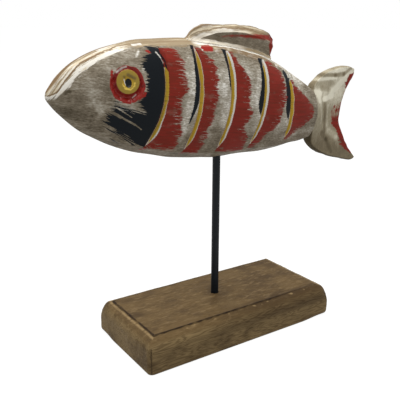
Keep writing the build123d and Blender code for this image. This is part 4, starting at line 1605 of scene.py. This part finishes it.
def block_material():
    """Mottled stain, grained on the sides, that pools under the panel's step with painted shade, and is worn
    along its edges with a painted highlight.
    """
    material, board, shader = new_material("stained_block", BLOCK_SPECULAR)
    place = board.place("block_place")
    top = board.value("block_top")
    grain = board.group("Wood Grain", {"Place": place, **BLOCK_GRAIN})["Grain"]
    blotch, fleck = board.noise(place, *BLOCK_BLOTCH), board.noise(place, *BLOCK_FLECK)
    lines = board.math("MULTIPLY", board.spread(grain, *GRAIN_LINES), board.blend(top, *GRAIN_STRENGTHS))
    smear = board.math("MULTIPLY", board.value("block_smear"), board.spread(blotch, *SMEAR_FADE))
    # Worn stain and a painted highlight on the rim by the step
    worn = board.math("MULTIPLY", board.value("block_rim"), board.spread(fleck, *RIM_WEAR_AND_HIGHLIGHT_FADE))
    # Pooled stain and painted shade in the step
    pooled = board.math("MULTIPLY", board.value("block_gap"), board.spread(fleck, *STEP_STAIN_AND_SHADE_FADE))
    corner = board.math("MULTIPLY", board.value("block_corner"), CORNER_DARKNESS)
    layers = (
        (top, "stain"),
        (board.spread(blotch, *BLOTCH_FADE), "stain_dark"),
        (board.spread(fleck, *FLECK_FADE), "stain_pale"),
        (lines, "stain_dark"),
        (smear, "stain_dark"),
        (worn, "stain_pale"),
        (board.math("MAXIMUM", pooled, corner), "stain_pooled"),
    )
    colour = tone("stain_side")
    for mask, over in layers:
        colour = board.mix(mask, colour, tone(over))
    board.feed(shader["Base Color"], colour)
    board.feed(shader["Roughness"], board.spread(grain, 0.0, 1.0, *BLOCK_ROUGHNESS, kind="LINEAR"))
    board.feed(shader["Normal"], board.bump(board.blend(0.5, grain, fleck), *BLOCK_BUMP))
    return material


class CARVEDFISH_OT_block(bpy.types.Operator):
    """Wear and stain the block"""

    bl_idname = "carved_fish.block"
    bl_label = "Stain Block"

    def execute(self, context):
        mesh = block_mesh(frame["nodes"]["base_block"])
        mesh.materials.append(block_material())
        piece = bpy.data.objects.new("stained_block", mesh)
        context.collection.objects.link(piece)
        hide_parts("base_block")
        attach(piece, STAND_BODY)
        return {"FINISHED"}


def rod_material():
    """Black satin paint with a faint brushed unevenness."""
    material, board, shader = new_material("painted_rod", ROD_SPECULAR)
    place = board.vector("MULTIPLY", board.add("TexCoord").outputs["Object"], (1 / MM, 1 / MM, 1 / MM))
    specks = board.noise(place, *ROD_SPECKS)
    wear = board.spread(board.strokes(place, ROD_BRUSH), *ROD_WEAR)
    board.feed(shader["Base Color"], board.mix(wear, tone("rod"), tone("rod", WORN_ROD)))
    board.feed(shader["Roughness"], board.spread(specks, *ROD_ROUGHNESS))
    board.feed(shader["Normal"], board.bump(specks, *ROD_BUMP))
    return material


class CARVEDFISH_OT_rod(bpy.types.Operator):
    """Paint the rod"""

    bl_idname = "carved_fish.rod"
    bl_label = "Paint Rod"

    def execute(self, context):
        rod = frame["nodes"]["support_rod"]
        rod.material_slots[0].material = rod_material()
        return {"FINISHED"}


# The stage


def sees_background(board):
    """1 for rays that see the white background: the camera's, and those in reflections and glass."""
    path = board.add("LightPath").outputs
    reflected = board.math("MAXIMUM", path["Is Glossy Ray"], path["Is Transmission Ray"])
    return board.math("MAXIMUM", path["Is Camera Ray"], reflected)


def grey(level):
    return (level, level, level, 1)


def floor_material():
    """A pale floor that shows white to the camera but keeps a soft shadow."""
    material = bpy.data.materials.new("pale_floor")
    material.use_nodes = True
    board = Board(material.node_tree)
    lit = board.add("BsdfDiffuse", {"Color": grey(FLOOR_GREY)})
    shadowed = board.add("BsdfDiffuse", {"Color": grey(FLOOR_SHOWN_GREY)})
    glow = board.add("Emission", {"Color": WHITE, "Strength": FLOOR_GLOW})
    shown = board.add("AddShader", {0: shadowed.outputs[0], 1: glow.outputs[0]})
    both = board.add("MixShader", {0: sees_background(board), 1: lit.outputs[0], 2: shown.outputs[0]})
    board.add("OutputMaterial", {"Surface": both.outputs[0]})
    return material


def set_world(scene, strength):
    """Even light, and a white background behind the floor."""
    world = bpy.data.worlds.new("studio")
    world.use_nodes = True
    board = Board(world.node_tree)
    light = board.add("Background", {"Color": WHITE, "Strength": strength})
    white = board.add("Background", {"Color": WHITE, "Strength": 1.0})
    both = board.add("MixShader", {0: sees_background(board), 1: light.outputs[0], 2: white.outputs[0]})
    board.add("OutputWorld", {"Surface": both.outputs[0]})
    scene.world = world


def set_camera(scene, stage):
    """The camera at its place, turned by its heading, pitch and roll."""
    heading, pitch, roll = stage.camera_heading, stage.camera_pitch, stage.camera_roll
    flat = math.cos(pitch)
    ahead = Vector((math.sin(heading) * flat, math.cos(heading) * flat, -math.sin(pitch)))
    level = Vector((math.cos(heading), -math.sin(heading), 0))
    upright = level.cross(ahead)
    right = math.cos(roll) * level + math.sin(roll) * upright
    up = -math.sin(roll) * level + math.cos(roll) * upright
    data = bpy.data.cameras.new("photo_camera")
    data.lens = stage.lens
    data.clip_start = CLIP_START
    camera = bpy.data.objects.new("photo_camera", data)
    turn = Matrix((right, up, -ahead)).transposed().to_4x4()
    camera.matrix_world = Matrix.Translation(stage.camera_place) @ turn
    scene.collection.objects.link(camera)
    scene.camera = camera


class CARVEDFISH_OT_stage(bpy.types.Operator):
    """Set the floor, the light and the camera"""

    bl_idname = "carved_fish.stage"
    bl_label = "Set Stage"

    def execute(self, context):
        stage = context.scene.carved_fish_stage
        set_camera(context.scene, stage)
        floor_mesh = bpy.data.meshes.new("floor")
        corners = [(x * FLOOR_REACH, y * FLOOR_REACH, 0) for x, y in FLOOR_CORNERS]
        floor_mesh.from_pydata(corners, [], [(0, 1, 2, 3)])
        floor_mesh.materials.append(floor_material())
        floor = bpy.data.objects.new("floor", floor_mesh)
        context.collection.objects.link(floor)
        lamp_data = bpy.data.lights.new("overhead_softbox", "AREA")
        lamp_data.shape = "RECTANGLE"
        lamp_data.size, lamp_data.size_y = LAMP_SIZE
        lamp_data.energy = stage.top_light
        lamp = bpy.data.objects.new("overhead_softbox", lamp_data)
        lamp.location = LAMP_PLACE
        lamp.rotation_euler = (-Vector(LAMP_PLACE)).to_track_quat("-Z", "Y").to_euler()
        context.collection.objects.link(lamp)
        set_world(context.scene, stage.sky)
        context.scene.view_settings.view_transform = "Standard"
        return {"FINISHED"}


# The panel


class CARVEDFISH_PT_panel(bpy.types.Panel):
    """Steps of the carved fish"""

    bl_idname = "CARVEDFISH_PT_panel"
    bl_label = "Carved Fish"
    bl_space_type = "VIEW_3D"
    bl_region_type = "UI"
    bl_category = "Carved Fish"

    def draw(self, context):
        for operator in OPERATORS:
            self.layout.operator(operator.bl_idname)
        for group in ("carved_fish_shape", "carved_fish_paint", "carved_fish_stage"):
            settings = getattr(context.scene, group)
            box = self.layout.box()
            for name in settings.__annotations__:
                box.prop(settings, name)


OPERATORS = (
    CARVEDFISH_OT_body,
    CARVEDFISH_OT_dorsal_fin,
    CARVEDFISH_OT_tail,
    CARVEDFISH_OT_block,
    CARVEDFISH_OT_rod,
    CARVEDFISH_OT_stage,
)
CLASSES = (CarvedFishShape, CarvedFishPaint, CarvedFishStage, *OPERATORS, CARVEDFISH_PT_panel)


def register():
    for cls in CLASSES:
        bpy.utils.register_class(cls)
    bpy.types.Scene.carved_fish_shape = PointerProperty(type=CarvedFishShape)
    bpy.types.Scene.carved_fish_paint = PointerProperty(type=CarvedFishPaint)
    bpy.types.Scene.carved_fish_stage = PointerProperty(type=CarvedFishStage)


def unregister():
    del bpy.types.Scene.carved_fish_stage
    del bpy.types.Scene.carved_fish_paint
    del bpy.types.Scene.carved_fish_shape
    for cls in reversed(CLASSES):
        bpy.utils.unregister_class(cls)


def main():
    register()
    bpy.ops.carved_fish.body()
    bpy.ops.carved_fish.dorsal_fin()
    bpy.ops.carved_fish.tail()
    bpy.ops.carved_fish.block()
    bpy.ops.carved_fish.rod()
    bpy.ops.carved_fish.stage()


if __name__ == "__main__":
    main()
